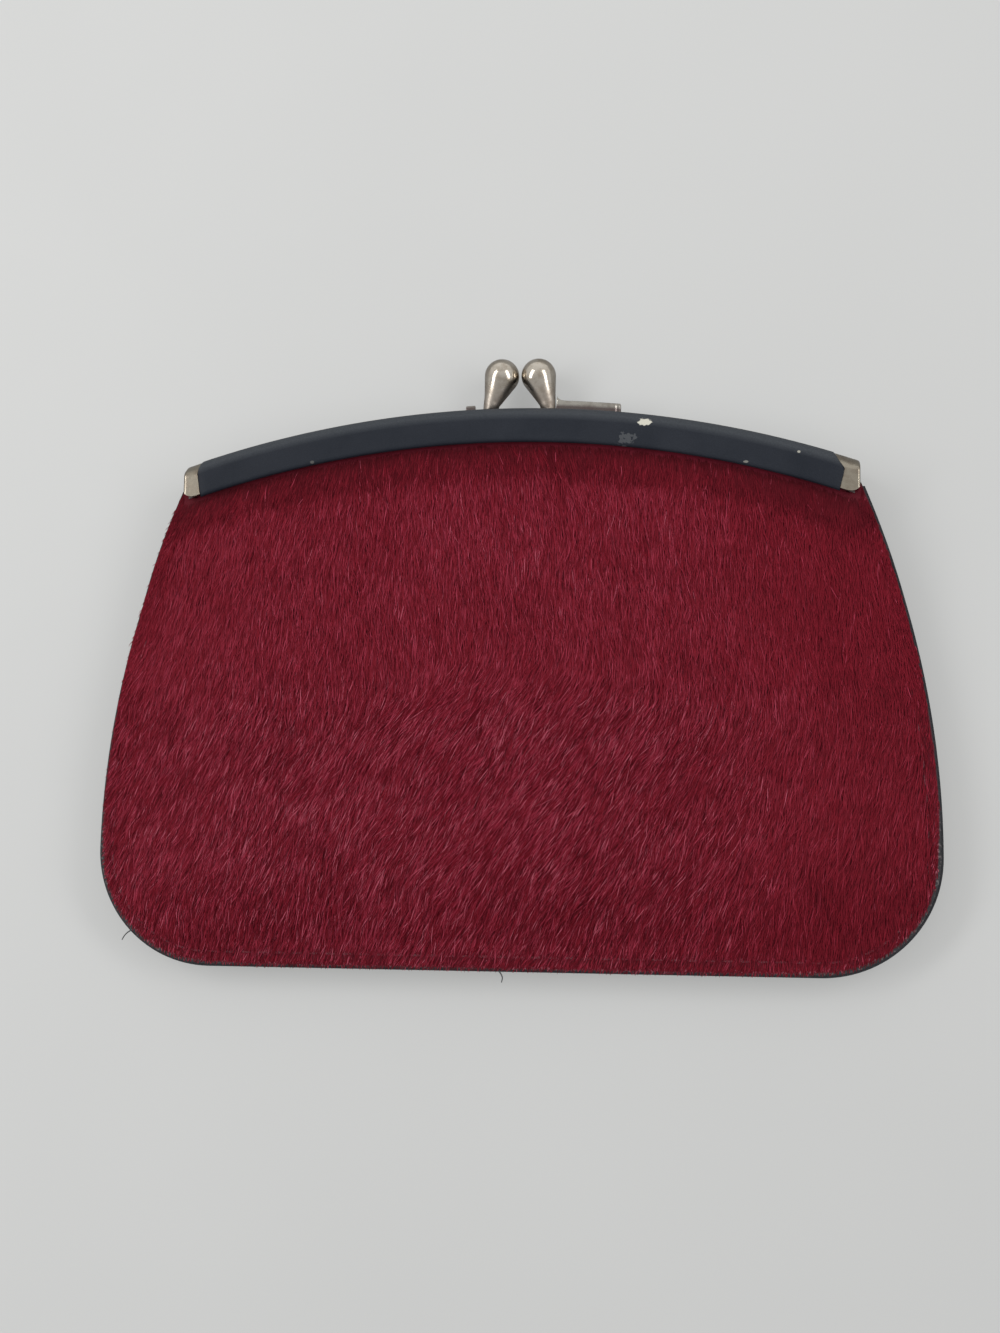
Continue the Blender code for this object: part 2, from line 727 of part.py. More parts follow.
def cap(name, side, way, finish):
    """A pressed cap that closes the frame's end, flush with the leather."""
    section = (
        [(LIP_RADIUS, COVER_OUT)]
        + rounded_corner(FRAME_RADIUS, COVER_OUT, CHANNEL_EDGE_ROUND + GAP + COVER_THICKNESS)
        + [(FRAME_RADIUS, CHANNEL_IN), (LIP_RADIUS, CHANNEL_IN)]
    )
    bm = arch_sweep(section, side)
    end_x = FRAME_SPAN / 2
    clip(bm, Vector((way * end_x, 0, 0)), Vector((way, 0, 0)))
    clip(bm, Vector((way * (CAP_START_X + GAP), 0, 0)), Vector((-way, 0, 0)))
    low_y = arch_y(end_x, LIP_RADIUS)
    centre = Vector((way * (end_x - CAP_CORNER_RADIUS), low_y + CAP_CORNER_RADIUS, 0))
    corner_cuts = 3
    for k in range(corner_cuts):
        angle = math.pi / 2 * (k + 0.5) / corner_cuts
        outward = Vector((way * math.cos(angle), -math.sin(angle), 0))
        clip(bm, centre + outward * CAP_CORNER_RADIUS, outward)
    shell = add_object(name, bm, finish)
    inner = CHANNEL_EDGE_ROUND + GAP + COVER_THICKNESS - CAP_WALL
    low = LIP_RADIUS - OVERRUN
    hollow = (
        [(low, COVER_OUT - CAP_WALL)]
        + rounded_corner(FRAME_RADIUS - CAP_WALL, COVER_OUT - CAP_WALL, inner)
        + [(FRAME_RADIUS - CAP_WALL, CHANNEL_IN - OVERRUN), (low, CHANNEL_IN - OVERRUN)]
    )
    bm = arch_sweep(hollow, side)
    clip_ends(bm, end_x - CAP_WALL)
    boolean(shell, add_object(f"{name}_hollow", bm, None), "DIFFERENCE")


def packing_cord(half, side, finish):
    """Paper cord that wedges the hide's edge in the channel."""
    radius = LIP_RADIUS + PACKING_CORD_DIAMETER / 2 + GAP
    half_length = REAR_EAR_OUT_X - EAR_THICKNESS - 2 * GAP
    reach = math.asin(half_length / (radius + PACKING_CORD_DIAMETER))
    height = CORD_IN + PACKING_CORD_DIAMETER / 2
    points = []
    for k in range(ARCH_STEPS + 1):
        angle = reach * (2 * k / ARCH_STEPS - 1)
        points.append(
            Vector(
                (
                    radius * math.sin(angle),
                    ARCH_CENTRE_Y + radius * math.cos(angle),
                    MIDDLE_Z + side * height,
                )
            )
        )
    tube(f"{half}_packing_cord", points, PACKING_CORD_DIAMETER, THREAD_SIDES, finish)


def hinge_rivet(word, way, finish):
    """A rivet through both ears, with a head at each end."""
    bm = bmesh.new()
    rings = []
    stations = (
        (RIVET_IN_X, RIVET_HEAD_RADIUS),
        (RIVET_IN_X + RIVET_HEAD_THICKNESS, RIVET_HEAD_RADIUS),
        (RIVET_IN_X + RIVET_HEAD_THICKNESS, HINGE_RIVET_RADIUS),
        (RIVET_OUT_X - RIVET_HEAD_THICKNESS, HINGE_RIVET_RADIUS),
        (RIVET_OUT_X - RIVET_HEAD_THICKNESS, RIVET_HEAD_RADIUS),
        (RIVET_OUT_X, RIVET_HEAD_RADIUS),
    )
    for x, radius in stations:
        ring = []
        for s in range(ROUND_SIDES):
            angle = 2 * math.pi * s / ROUND_SIDES
            y = HINGE_Y + radius * math.cos(angle)
            ring.append(bm.verts.new((way * x, y, MIDDLE_Z + radius * math.sin(angle))))
        rings.append(ring)
    bridge_rings(bm, rings)
    add_object(f"{word}_hinge_rivet", bm, finish)


# Kiss lock

def knob_foot_x():
    """Distance of each knob's foot from the middle."""
    return KNOB_RADIUS + KNOB_SPACING_GAP / 2 + KNOB_LEAN


def clasp_strip(half, side, way, ends, rise, finish):
    """The strip that carries a knob: a low seat under its foot, then a step up to a bar."""
    bm = bmesh.new()
    start, bar_start, end = ends
    outline = []
    steps = 6
    for k in range(steps + 1):
        x = start + (end - start) * k / steps
        outline.append((x, arch_y(x, FRAME_RADIUS) - STRIP_DEPTH_BELOW_TOP))
    for k in range(steps, -1, -1):
        x = bar_start + (end - bar_start) * k / steps
        outline.append((x, arch_y(x, FRAME_RADIUS) + rise))
    for x in (bar_start - STRIP_STEP, start):
        outline.append((x, arch_y(x, FRAME_RADIUS) + STRIP_SEAT_RISE))
    rings = []
    for z in (-STRIP_THICKNESS / 2, STRIP_THICKNESS / 2):
        rings.append([bm.verts.new((way * x, y, MIDDLE_Z + z)) for x, y in outline])
    bridge_rings(bm, rings)
    strip = add_object(f"{half}_knob_strip", bm, finish)
    for number, (x, y) in enumerate(strip_rivet_places(half), 1):
        hole = z_cylinder(
            f"{half}_strip_hole_{number}", STRIP_RIVET_RADIUS + GAP, x, y,
            MIDDLE_Z - STRIP_THICKNESS, MIDDLE_Z + STRIP_THICKNESS,
        )
        boolean(strip, hole, "DIFFERENCE")
        strip_rivet(f"{half}_strip_rivet_{number}", side, x, y, finish)


def strip_rivet(name, side, x, y, finish):
    """A small rivet, flush with the strip and headed inside the channel."""
    flush = -STRIP_THICKNESS / 2
    neck = CHANNEL_IN + CHANNEL_WALL + GAP
    stations = (
        (flush, STRIP_RIVET_RADIUS),
        (neck, STRIP_RIVET_RADIUS),
        (neck, STRIP_RIVET_HEAD_RADIUS),
        (neck + STRIP_RIVET_HEAD_THICKNESS, STRIP_RIVET_HEAD_RADIUS),
    )
    bm = bmesh.new()
    rings = []
    sides = 12
    for z, radius in stations:
        ring = []
        for s in range(sides):
            angle = 2 * math.pi * s / sides
            at = (x + radius * math.cos(angle), y + radius * math.sin(angle), MIDDLE_Z + side * z)
            ring.append(bm.verts.new(at))
        rings.append(ring)
    bridge_rings(bm, rings)
    add_object(name, bm, finish)


def knob(half, way, finish):
    """A ball that tapers to a foot on its strip, leaning in over the middle."""
    ball = Vector((way * (KNOB_RADIUS + KNOB_SPACING_GAP / 2), FRAME_TOP_Y + KNOB_HEIGHT, MIDDLE_Z))
    foot_x = way * knob_foot_x()
    foot = Vector((foot_x, arch_y(foot_x, FRAME_RADIUS) + STRIP_SEAT_RISE + GAP, MIDDLE_Z))
    axis = ball - foot
    length = axis.length
    taper = math.asin((KNOB_RADIUS - KNOB_FOOT_RADIUS) / length)
    profile = [(0, KNOB_FOOT_RADIUS)]
    steps = 9
    for k in range(steps + 1):
        angle = -taper + (math.pi / 2 + taper) * k / steps
        profile.append((length + KNOB_RADIUS * math.sin(angle), KNOB_RADIUS * math.cos(angle)))
    bm = bmesh.new()
    rings = []
    for along, radius in profile[:-1]:
        ring = []
        for s in range(ROUND_SIDES):
            angle = 2 * math.pi * s / ROUND_SIDES
            ring.append(bm.verts.new((radius * math.cos(angle), radius * math.sin(angle), along)))
        rings.append(ring)
    for a, b in zip(rings, rings[1:]):
        for k in range(ROUND_SIDES):
            bm.faces.new((a[k], a[(k + 1) % ROUND_SIDES], b[(k + 1) % ROUND_SIDES], b[k]))
    bm.faces.new(rings[0])
    pole = bm.verts.new((0, 0, profile[-1][0]))
    for k in range(ROUND_SIDES):
        bm.faces.new((rings[-1][k], rings[-1][(k + 1) % ROUND_SIDES], pole))
    turn = Vector((0, 0, 1)).rotation_difference(axis.normalized()).to_matrix().to_4x4()
    bmesh.ops.transform(bm, matrix=Matrix.Translation(foot) @ turn, verts=bm.verts)
    flat = foot + Vector((0, KNOB_FOOT_RADIUS, 0)) * math.sin(abs(math.atan2(axis.x, axis.y)))
    clip(bm, flat, Vector((0, -1, 0)))
    add_object(f"{half}_knob", bm, finish)


def main():
    clear_scene()
    finishes = {
        "hide": material("hide", HIDE_RED, 0.75),
        "cover": material("cover", COVER_NAVY, 0.5),
        "gusset": material("gusset", GUSSET_BLACK, 0.5),
        "lining": material("lining", LINING_TAN, 0.8),
        "board": material("board", BOARD_GREY, 0.9),
        "nickel": material("nickel", NICKEL, 0.25, 1.0),
        "steel": material("steel", STEEL, 0.35, 1.0),
        "thread": material("thread", THREAD_RED, 0.7),
        "paper": material("paper", PAPER, 0.9),
    }
    walls(finishes)
    pocket(finishes)
    gusset(finishes["gusset"])
    for word, way in (("left", -1), ("right", 1)):
        edge_strip(f"front_{word}_edge_strip", FRONT, way, finishes["gusset"])
        edge_strip(f"rear_{word}_edge_strip", REAR, way, finishes["gusset"])
    seam_thread("front_seam_thread", FRONT, finishes["thread"])
    seam_thread("rear_seam_thread", REAR, finishes["thread"])
    frame_half("front", 1, FRONT_EAR_OUT_X, finishes)
    frame_half("rear", -1, REAR_EAR_OUT_X, finishes)
    hinge_rivet("left", -1, finishes["nickel"])
    hinge_rivet("right", 1, finishes["nickel"])
    tab_end = STRIP_START + FRONT_STRIP_LENGTH
    front_ends = (STRIP_START, tab_end - FRONT_TAB_LENGTH, tab_end)
    bar_start = knob_foot_x() + KNOB_FOOT_RADIUS + STRIP_SEAT_MARGIN
    rear_ends = (STRIP_START, bar_start, STRIP_START + REAR_STRIP_LENGTH)
    clasp_strip("front", 1, -1, front_ends, FRONT_TAB_RISE, finishes["nickel"])
    clasp_strip("rear", -1, 1, rear_ends, REAR_BAR_RISE, finishes["nickel"])
    knob("front", -1, finishes["nickel"])
    knob("rear", 1, finishes["nickel"])


main()
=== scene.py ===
import math

import bpy
import numpy as np
from mathutils import Matrix, Vector


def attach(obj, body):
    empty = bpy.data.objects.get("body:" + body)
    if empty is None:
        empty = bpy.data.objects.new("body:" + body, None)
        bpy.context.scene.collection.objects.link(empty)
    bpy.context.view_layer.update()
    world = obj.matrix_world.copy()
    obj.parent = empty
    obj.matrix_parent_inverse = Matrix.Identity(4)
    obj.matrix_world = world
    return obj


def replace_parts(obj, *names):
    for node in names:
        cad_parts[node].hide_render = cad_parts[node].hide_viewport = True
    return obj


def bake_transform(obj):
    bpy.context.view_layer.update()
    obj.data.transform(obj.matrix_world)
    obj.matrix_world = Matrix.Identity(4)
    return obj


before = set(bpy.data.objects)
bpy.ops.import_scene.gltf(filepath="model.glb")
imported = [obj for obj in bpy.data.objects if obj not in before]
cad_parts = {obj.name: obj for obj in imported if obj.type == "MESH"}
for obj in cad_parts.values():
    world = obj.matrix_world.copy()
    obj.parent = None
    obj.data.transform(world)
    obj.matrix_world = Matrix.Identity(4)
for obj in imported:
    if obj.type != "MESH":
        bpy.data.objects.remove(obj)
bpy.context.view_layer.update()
scene = bpy.context.scene
scene.view_settings.view_transform = "Standard"
print("frame loaded:", len(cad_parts), "nodes")

# Sizes the part is built to, in metres. Heights count from the wallet's middle plane
wallet = {
    "bodyWidth": 0.1722,
    "bottomY": -0.063,
    "cornerRadius": 0.0240,
    "archCentreY": -0.1615,
    "frameRadius": 0.214,
    "lipRadius": 0.2069,
    "frameHalf": 0.06985,
    "slotHalf": 0.06775,
    "shoulderHalf": 0.07175,
    "shoulderY": 0.033253,
    "hingeY": 0.013253,
    "hingeDrop": 0.020,
    "middleZ": 0.0066,
    "gussetTop": 0.0008,
    "gussetIn": 0.0002,
    "seat": 0.0011,
    "slotSeat": 0.0028,
    "seamMargin": 0.0054,
    "seamInset": 0.0030,
    "hideInset": 0.0005,
    "earTop": 0.0362,
    "earGap": 0.0001,
    "skinThickness": 0.00072,
    "insertion": 0.0042,
    "channelIn": 0.0007,
    "channelOut": 0.0050,
    "coverOut": 0.0058,
    "frameRounding": 0.0026,
    "foldReach": 0.009,
}
walls = {
    "front": {"side": 1, "puff": 0.0047, "crown": 0.0016, "edgeRoll": 0.024, "topRoll": 0.026},
    "rear": {"side": -1, "puff": 0.0053, "crown": 0.0, "edgeRoll": 0.018, "topRoll": 0.016},
}
# The groove that the seam presses into the hide: full round the bottom, shallower beside it, gone at the hinges
seamGroove = {"width": 0.0009, "depth": 0.00028, "atSides": 0.25, "lowY": -0.020, "highY": -0.005, "fade": 0.018}
# Lower corners, where the hide's edge is rubbed back: how far out and how far down they begin
rubbedCorner = {"out": 0.050, "outFade": 0.016, "down": 0.028, "downFade": 0.012}

cornerX = wallet["bodyWidth"] / 2 - wallet["cornerRadius"]
cornerY = wallet["bottomY"] + wallet["cornerRadius"]


# Shape of the wallet, as whole arrays

def smooth(share):  # eases from 0 to 1, level at both ends
    share = np.clip(share, 0, 1)
    return share * share * (3 - 2 * share)


def rollUp(share):  # one less the square of what is left: steep first, then level
    return 1 - (1 - np.clip(share, 0, 1)) ** 2


# Half the width shrinks with the square of the height above the corners. Gives half width and its slope
def sideCurve(y):
    run = wallet["shoulderY"] - cornerY
    narrowing = wallet["bodyWidth"] / 2 - wallet["shoulderHalf"]
    share = np.maximum(y - cornerY, 0) / run
    return wallet["bodyWidth"] / 2 - narrowing * share**2, -2 * narrowing * share / run


def halfWidth(y, inset):  # the side curve, moved in square to itself
    half, slope = sideCurve(y)
    return half - inset * np.hypot(1, slope)


# Distance in from the outline: from the corner's circle, or else from the nearer of side and bottom
def edgeDistance(x, y):
    x = np.abs(x)
    half, slope = sideCurve(y)
    straight = np.minimum((half - x) / np.hypot(1, slope), y - wallet["bottomY"])
    corner = wallet["cornerRadius"] - np.hypot(x - cornerX, y - cornerY)
    return np.where((x > cornerX) & (y < cornerY), corner, straight)


def archY(x, radius):  # height of the frame's circle of that radius
    return wallet["archCentreY"] + np.sqrt(radius**2 - x**2)


def belowLip(x, y):  # distance down from the frame's lower edge
    return wallet["lipRadius"] - np.hypot(x, y - wallet["archCentreY"])


# Inner face of the hide: the height at its edges, plus the puff times a roll in from the seam and a roll
# down from the lip
def hideHeight(wall, x, y):
    below = belowLip(x, y)
    low = wallet["slotSeat"] + (wallet["seat"] - wallet["slotSeat"]) * smooth(below / wallet["hingeDrop"]) ** 2
    middleY = (wallet["bottomY"] + wallet["shoulderY"]) / 2
    across = np.maximum(1 - (2 * x / wallet["bodyWidth"]) ** 2, 0)
    along = np.maximum(1 - ((y - middleY) / (wallet["shoulderY"] - middleY)) ** 2, 0)
    full = wall["puff"] + wall["crown"] * across * along
    inward = np.maximum(edgeDistance(x, y) - wallet["seamMargin"], 0)
    return low + (full - low) * rollUp(inward / wall["edgeRoll"]) * rollUp(below / wall["topRoll"])


# Share of the lower corners: one ease outwards times one downwards
def cornerShare(x, y):
    outer = smooth((np.abs(x) - rubbedCorner["out"]) / rubbedCorner["outFade"])
    return outer * smooth((-y - rubbedCorner["down"]) / rubbedCorner["downFade"])


# Share of the seam's groove: its share at the sides, more below one height and none above another
def grooveShare(y):
    low = smooth((seamGroove["lowY"] - y) / seamGroove["fade"])
    high = smooth((y - seamGroove["highY"]) / seamGroove["fade"])
    return seamGroove["atSides"] + (1 - seamGroove["atSides"]) * low - seamGroove["atSides"] * high


# Outer face of the skin: the hide's thickness on its inner face, less a bell-shaped groove along the seam
def skinHeight(wall, x, y):
    along = np.exp(-(((edgeDistance(x, y) - wallet["seamInset"]) / seamGroove["width"]) ** 2))
    groove = seamGroove["depth"] * along * grooveShare(y)
    return hideHeight(wall, x, y) + wallet["skinThickness"] - groove


# Rows of (x, y) over the outline, drawn in by inset. Columns crowd to the sides, by a sine, and upper rows bend
# up to the arch. With ears, the outermost columns climb on past the lip beside the frame's ends, by the cube of
# the share up. Slot rows follow the arch inside the frame
def panelGrid(inset, topGap, columns, cornerRows, levelRows, archRows, slotRows=0, ears=False):
    across = np.sin(np.pi / 2 * np.linspace(-1, 1, columns))
    angle = np.linspace(0, np.pi / 2, cornerRows, endpoint=False)
    levelTop = (cornerY + wallet["hingeY"]) / 2
    levelY = np.linspace(cornerY, levelTop, levelRows, endpoint=False)
    radius = wallet["cornerRadius"] - inset
    y = np.concatenate([cornerY - radius * np.cos(angle), levelY])
    half = np.concatenate([cornerX + radius * np.sin(angle), halfWidth(levelY, inset)])
    lowX = half[:, None] * across
    lowY = np.repeat(y[:, None], columns, 1)
    share = np.linspace(0, 1, archRows + 1)
    shoulderY = wallet["shoulderY"] - topGap
    topX = halfWidth(shoulderY, inset)
    atEnd = wallet["frameHalf"] + wallet["earGap"]
    beside = np.clip((topX * np.abs(across) - atEnd) / (topX - atEnd), 0, 1)
    climb = beside * (wallet["earTop"] - shoulderY) * ears
    climb = climb[None, :] * share[:, None] ** 3
    sideY = levelTop + (shoulderY - levelTop) * share[:, None] + climb
    highX = halfWidth(sideY, inset) * across
    highY = levelTop + (archY(highX, wallet["lipRadius"] - topGap) - levelTop) * share[:, None]
    highY = np.where(climb > 0, np.maximum(sideY, highY), highY)
    xs, ys = [lowX, highX], [lowY, highY]
    if slotRows:
        depth = np.linspace(0, wallet["insertion"], slotRows)
        slotX = np.repeat((wallet["slotHalf"] * across)[None, :], slotRows, 0)
        xs.append(slotX)
        ys.append(archY(slotX, wallet["lipRadius"] + depth[:, None]))
    return np.concatenate(xs), np.concatenate(ys)


# Points and inward directions round the wallet's sides, corners and bottom, from upper left to upper right
def outlinePath(inset, topY, step):
    y = np.linspace(topY, cornerY, max(int((topY - cornerY) / step), 2), endpoint=False)
    _, slope = sideCurve(y)
    side = np.stack([-1 / np.hypot(1, slope), slope / np.hypot(1, slope)], 1)
    angle = np.linspace(0, np.pi / 2, max(int(wallet["cornerRadius"] * np.pi / 2 / step), 4))
    corner = np.stack([-np.cos(angle), np.sin(angle)], 1)
    x = np.linspace(cornerX, 0, max(int(cornerX / step), 2))[1:]
    inward = np.concatenate([side, corner, np.repeat([[0.0, 1.0]], len(x), 0)])
    centre = np.array([cornerX, cornerY])
    points = np.concatenate([
        np.stack([halfWidth(y, inset), y], 1),
        centre - corner * (wallet["cornerRadius"] - inset),
        np.stack([x, np.full(len(x), wallet["bottomY"] + inset)], 1),
    ])
    flip = np.array([-1.0, 1.0])
    return np.concatenate([points * flip, points[-2::-1]]), np.concatenate([inward * flip, inward[-2::-1]])


def pathLengths(path):  # distance along a path to each of its points
    return np.concatenate([[0], np.cumsum(np.linalg.norm(np.diff(path, axis=0), axis=1))])


# Even noise from -1 to 1: random values on a square lattice, eased between
def patchNoise(x, y, cell, seed):
    size = 128
    lattice = np.random.default_rng(seed).uniform(-1, 1, (size, size))
    u, v = x / cell, y / cell
    i, j = np.floor(u).astype(int), np.floor(v).astype(int)
    a, b = smooth(u - i), smooth(v - j)
    low, high = (
        lattice[i % size, row % size] * (1 - a) + lattice[(i + 1) % size, row % size] * a for row in (j, j + 1)
    )
    return low * (1 - b) + high * b


def lift(wall, x, y, height):  # a point of the outline at that height off the middle plane
    return np.stack([x, y, wallet["middleZ"] + wall["side"] * height + 0 * x], -1)


# Meshes from arrays

# A piece from its points, its sets of faces, its finish and the angle past which its edges stay sharp
def addMesh(name, points, faceSets, finish, sharpAngle=40):
    points = points.reshape(-1, 3)
    corners = np.concatenate([f.ravel() for f in faceSets]).astype(np.int32)
    sizes = np.concatenate([np.full(len(f), f.shape[1]) for f in faceSets])
    mesh = bpy.data.meshes.new(name)
    mesh.vertices.add(len(points))
    mesh.vertices.foreach_set("co", points.astype(np.float32).ravel())
    mesh.loops.add(len(corners))
    mesh.loops.foreach_set("vertex_index", corners)
    mesh.polygons.add(len(sizes))
    mesh.polygons.foreach_set("loop_start", np.concatenate([[0], np.cumsum(sizes)[:-1]]).astype(np.int32))
    mesh.update(calc_edges=True)
    mesh.shade_smooth()
    mesh.set_sharp_from_angle(angle=math.radians(sharpAngle))
    mesh.materials.append(finish)
    piece = bpy.data.objects.new(name, mesh)
    scene.collection.objects.link(piece)
    return piece


# Turns the faces of a closed shape outwards: six times its volume is the sum of its corners' triple products
def facingOut(points, faceSets):
    points = points.reshape(-1, 3)
    volume = 0
    for f in faceSets:
        for k in range(1, f.shape[1] - 1):
            a, b, c = points[f[:, 0]], points[f[:, k]], points[f[:, k + 1]]
            volume += np.einsum("ij,ij->", a, np.cross(b, c))
    return faceSets if volume > 0 else [f[:, ::-1] for f in faceSets]


def gridFaces(rows, columns, wrap=False):  # quads of a grid of points, joined side to side where it wraps
    j = np.arange(rows - 1)[:, None]
    i = np.arange(columns if wrap else columns - 1)[None, :]
    k = (i + 1) % columns
    quads = [j * columns + i, j * columns + k, (j + 1) * columns + k, (j + 1) * columns + i]
    return np.stack([q + 0 * (i + j) for q in quads], -1).reshape(-1, 4)


# A shell between two grids of the same size: both faces, and a strip of quads round the rim
def shellPiece(name, outer, inner, finish, sharpAngle=40):
    rows, columns = outer.shape[:2]
    count = rows * columns
    top = gridFaces(rows, columns)
    index = np.arange(count).reshape(rows, columns)
    rim = np.concatenate([index[0, :], index[1:, -1], index[-1, -2::-1], index[-2:0:-1, 0]])
    after = np.roll(rim, -1)
    side = np.stack([rim, rim + count, after + count, after], -1)
    points = np.concatenate([outer.reshape(-1, 3), inner.reshape(-1, 3)])
    faces = facingOut(points, [np.concatenate([top, top[:, ::-1] + count, side])])
    return addMesh(name, points, faces, finish, sharpAngle)


# A round body: rings of points one after another, with a fan to the middle of each end ring
def ringPiece(name, rings, finish, sharpAngle=40):
    points, faces = ringMesh(rings)
    return addMesh(name, points, facingOut(points, faces), finish, sharpAngle)


def ringMesh(rings):  # points and faces of a round body: quads between its rings, triangles at its ends
    rows, sides = rings.shape[:2]
    quads = gridFaces(rows, sides, wrap=True)
    first, last = rows * sides, rows * sides + 1
    k = np.arange(sides)
    n = (k + 1) % sides
    start = np.stack([np.full(sides, first), n, k], -1)
    end = np.stack([np.full(sides, last), k + (rows - 1) * sides, n + (rows - 1) * sides], -1)
    points = np.concatenate([rings.reshape(-1, 3), rings[0].mean(0)[None], rings[-1].mean(0)[None]])
    return points, [quads, np.concatenate([start, end])]


# Rings of a round rope along a path: each ring lies square to the path, radius may change along it
def ropeRings(path, radius, sides, upward=(0, 0, 1)):
    along = np.gradient(path, axis=0)
    along /= np.linalg.norm(along, axis=1)[:, None]
    across = np.cross(along, upward)
    across /= np.linalg.norm(across, axis=1)[:, None]
    rise = np.cross(across, along)
    angle = 2 * np.pi * np.arange(sides) / sides
    radius = np.broadcast_to(radius, (len(path),))[:, None, None]
    ring = across[:, None] * np.cos(angle)[None, :, None] + rise[:, None] * np.sin(angle)[None, :, None]
    return path[:, None] + ring * radius


# Nodes

def fill(tree, socket, value):  # links a socket to another node's output, or else sets its value
    if isinstance(value, bpy.types.NodeSocket):
        tree.links.new(value, socket)
    else:
        socket.default_value = value


# A new node. Its inputs are given by their names, or by their numbers as at0, at1 and on
def place(tree, kind, settings=None, **inputs):
    made = tree.nodes.new(kind)
    for key, value in (settings or {}).items():
        setattr(made, key, value)
    for key, value in inputs.items():
        fill(tree, made.inputs[int(key[2:]) if key.startswith("at") else key], value)
    return made


def maths(tree, operation, a, b=0.5, c=0.5, clamp=False):  # one operation on up to three numbers
    settings = {"operation": operation, "use_clamp": clamp}
    return place(tree, "ShaderNodeMath", settings, at0=a, at1=b, at2=c).outputs[0]


def vectorMaths(tree, operation, a, b=(0, 0, 0)):  # gives a vector, or a number for its length
    made = place(tree, "ShaderNodeVectorMath", {"operation": operation}, at0=a, at1=b)
    return made.outputs[1 if operation == "LENGTH" else 0]


def axes(tree, vector):  # x, y and z of a vector
    return place(tree, "ShaderNodeSeparateXYZ", at0=vector).outputs


def mixColour(tree, share, a, b, blend="MIX"):  # the first colour, and the second by its share
    settings = {"data_type": "RGBA", "blend_type": blend}
    return place(tree, "ShaderNodeMix", settings, at0=share, at6=a, at7=b).outputs[2]


def noise(tree, vector, scale, detail=3.0, roughness=0.55):  # cloudy noise from 0 to 1
    made = place(tree, "ShaderNodeTexNoise", Vector=vector, Scale=scale, Detail=detail, Roughness=roughness)
    return made.outputs[0]


def spread(tree, value, low, high, toLow=0.0, toHigh=1.0):  # maps a range to another, and stops at its ends
    return place(tree, "ShaderNodeMapRange", at0=value, at1=low, at2=high, at3=toLow, at4=toHigh).outputs[0]


def rgb(red, green, blue):  # a colour as a picture editor shows it, 0 to 255, as the shader takes it
    levels = (((c / 255 + 0.055) / 1.055) ** 2.4 if c > 10 else c / 3294.6 for c in (red, green, blue))
    return (*levels, 1.0)


# An empty shader node group: inputs are (name, kind of socket, value) and outputs are (name, kind of socket)
def newGroup(name, inputs, outputs):
    group = bpy.data.node_groups.new(name, "ShaderNodeTree")
    for title, kind, value in inputs:
        socket = group.interface.new_socket(title, in_out="INPUT", socket_type=kind)
        if value is not None:
            socket.default_value = value
    for title, kind in outputs:
        group.interface.new_socket(title, in_out="OUTPUT", socket_type=kind)
    return group, group.nodes.new("NodeGroupInput").outputs, group.nodes.new("NodeGroupOutput").inputs


def useGroup(tree, group, **inputs):  # a group's outputs, with its inputs given by their names
    made = tree.nodes.new("ShaderNodeGroup")
    made.node_tree = group
    for key, value in inputs.items():
        fill(tree, made.inputs[key[0].upper() + key[1:]], value)
    return made.outputs


vectorIn = ("Vector", "NodeSocketVector", None)

# Scales are in cells to the metre
grainLook = {
    "wobbleScale": 900.0, "wobble": 0.0006, "pebbleEdge": 0.22, "pebbleHeight": 0.5, "slowScale": 190.0,
    "fineScale": 6000.0, "fineHeight": 0.12, "patchScale": 75.0, "patchLow": 0.32, "patchHigh": 0.68,
}


def makeGrainGroup():  # leather: pebbles between creases, plus a slow waviness; darker in the creases
    look = grainLook
    group, given, out = newGroup(
        "leatherGrain",
        [vectorIn, ("Scale", "NodeSocketFloat", 2600.0), ("Wave", "NodeSocketFloat", 0.4)],
        [("Height", "NodeSocketFloat"), ("Crease", "NodeSocketFloat"), ("Patch", "NodeSocketFloat")],
    )
    at = given["Vector"]
    wobble = place(group, "ShaderNodeTexNoise", Vector=at, Scale=look["wobbleScale"], Detail=2.0).outputs[1]
    shifted = vectorMaths(group, "ADD", at, vectorMaths(group, "MULTIPLY", wobble, (look["wobble"],) * 3))
    feature = {"feature": "DISTANCE_TO_EDGE"}
    cells = place(group, "ShaderNodeTexVoronoi", feature, Vector=shifted, Scale=given["Scale"]).outputs[0]
    pebble = spread(group, cells, 0.0, look["pebbleEdge"])
    slow = noise(group, at, look["slowScale"], 2.0)
    fine = noise(group, at, look["fineScale"], 2.0)
    raised = maths(group, "MULTIPLY", pebble, look["pebbleHeight"])
    height = maths(group, "MULTIPLY_ADD", slow, given["Wave"], raised)
    patch = spread(group, noise(group, at, look["patchScale"], 4.0), look["patchLow"], look["patchHigh"])
    group.links.new(maths(group, "MULTIPLY_ADD", fine, look["fineHeight"], height), out["Height"])
    group.links.new(maths(group, "SUBTRACT", 1.0, pebble), out["Crease"])
    group.links.new(patch, out["Patch"])
    return group


spotLook = {"ragScale": 1500.0, "inside": 0.85, "outside": 1.05}


def makeSpotGroup():  # a worn spot: inside a ragged ellipsoid round its centre
    group, given, out = newGroup(
        "wornSpot",
        [vectorIn, ("Centre", "NodeSocketVector", None), ("Size", "NodeSocketVector", None),
         ("Ragged", "NodeSocketFloat", 0.5)],
        [("Mask", "NodeSocketFloat")],
    )
    away = vectorMaths(group, "SUBTRACT", given["Vector"], given["Centre"])
    reach = vectorMaths(group, "LENGTH", vectorMaths(group, "DIVIDE", away, given["Size"]))
    rough = maths(group, "SUBTRACT", noise(group, given["Vector"], spotLook["ragScale"], 3.0), 0.5)
    edge = maths(group, "MULTIPLY_ADD", rough, given["Ragged"], reach)
    group.links.new(spread(group, edge, spotLook["inside"], spotLook["outside"], 1.0, 0.0), out["Mask"])
    return group


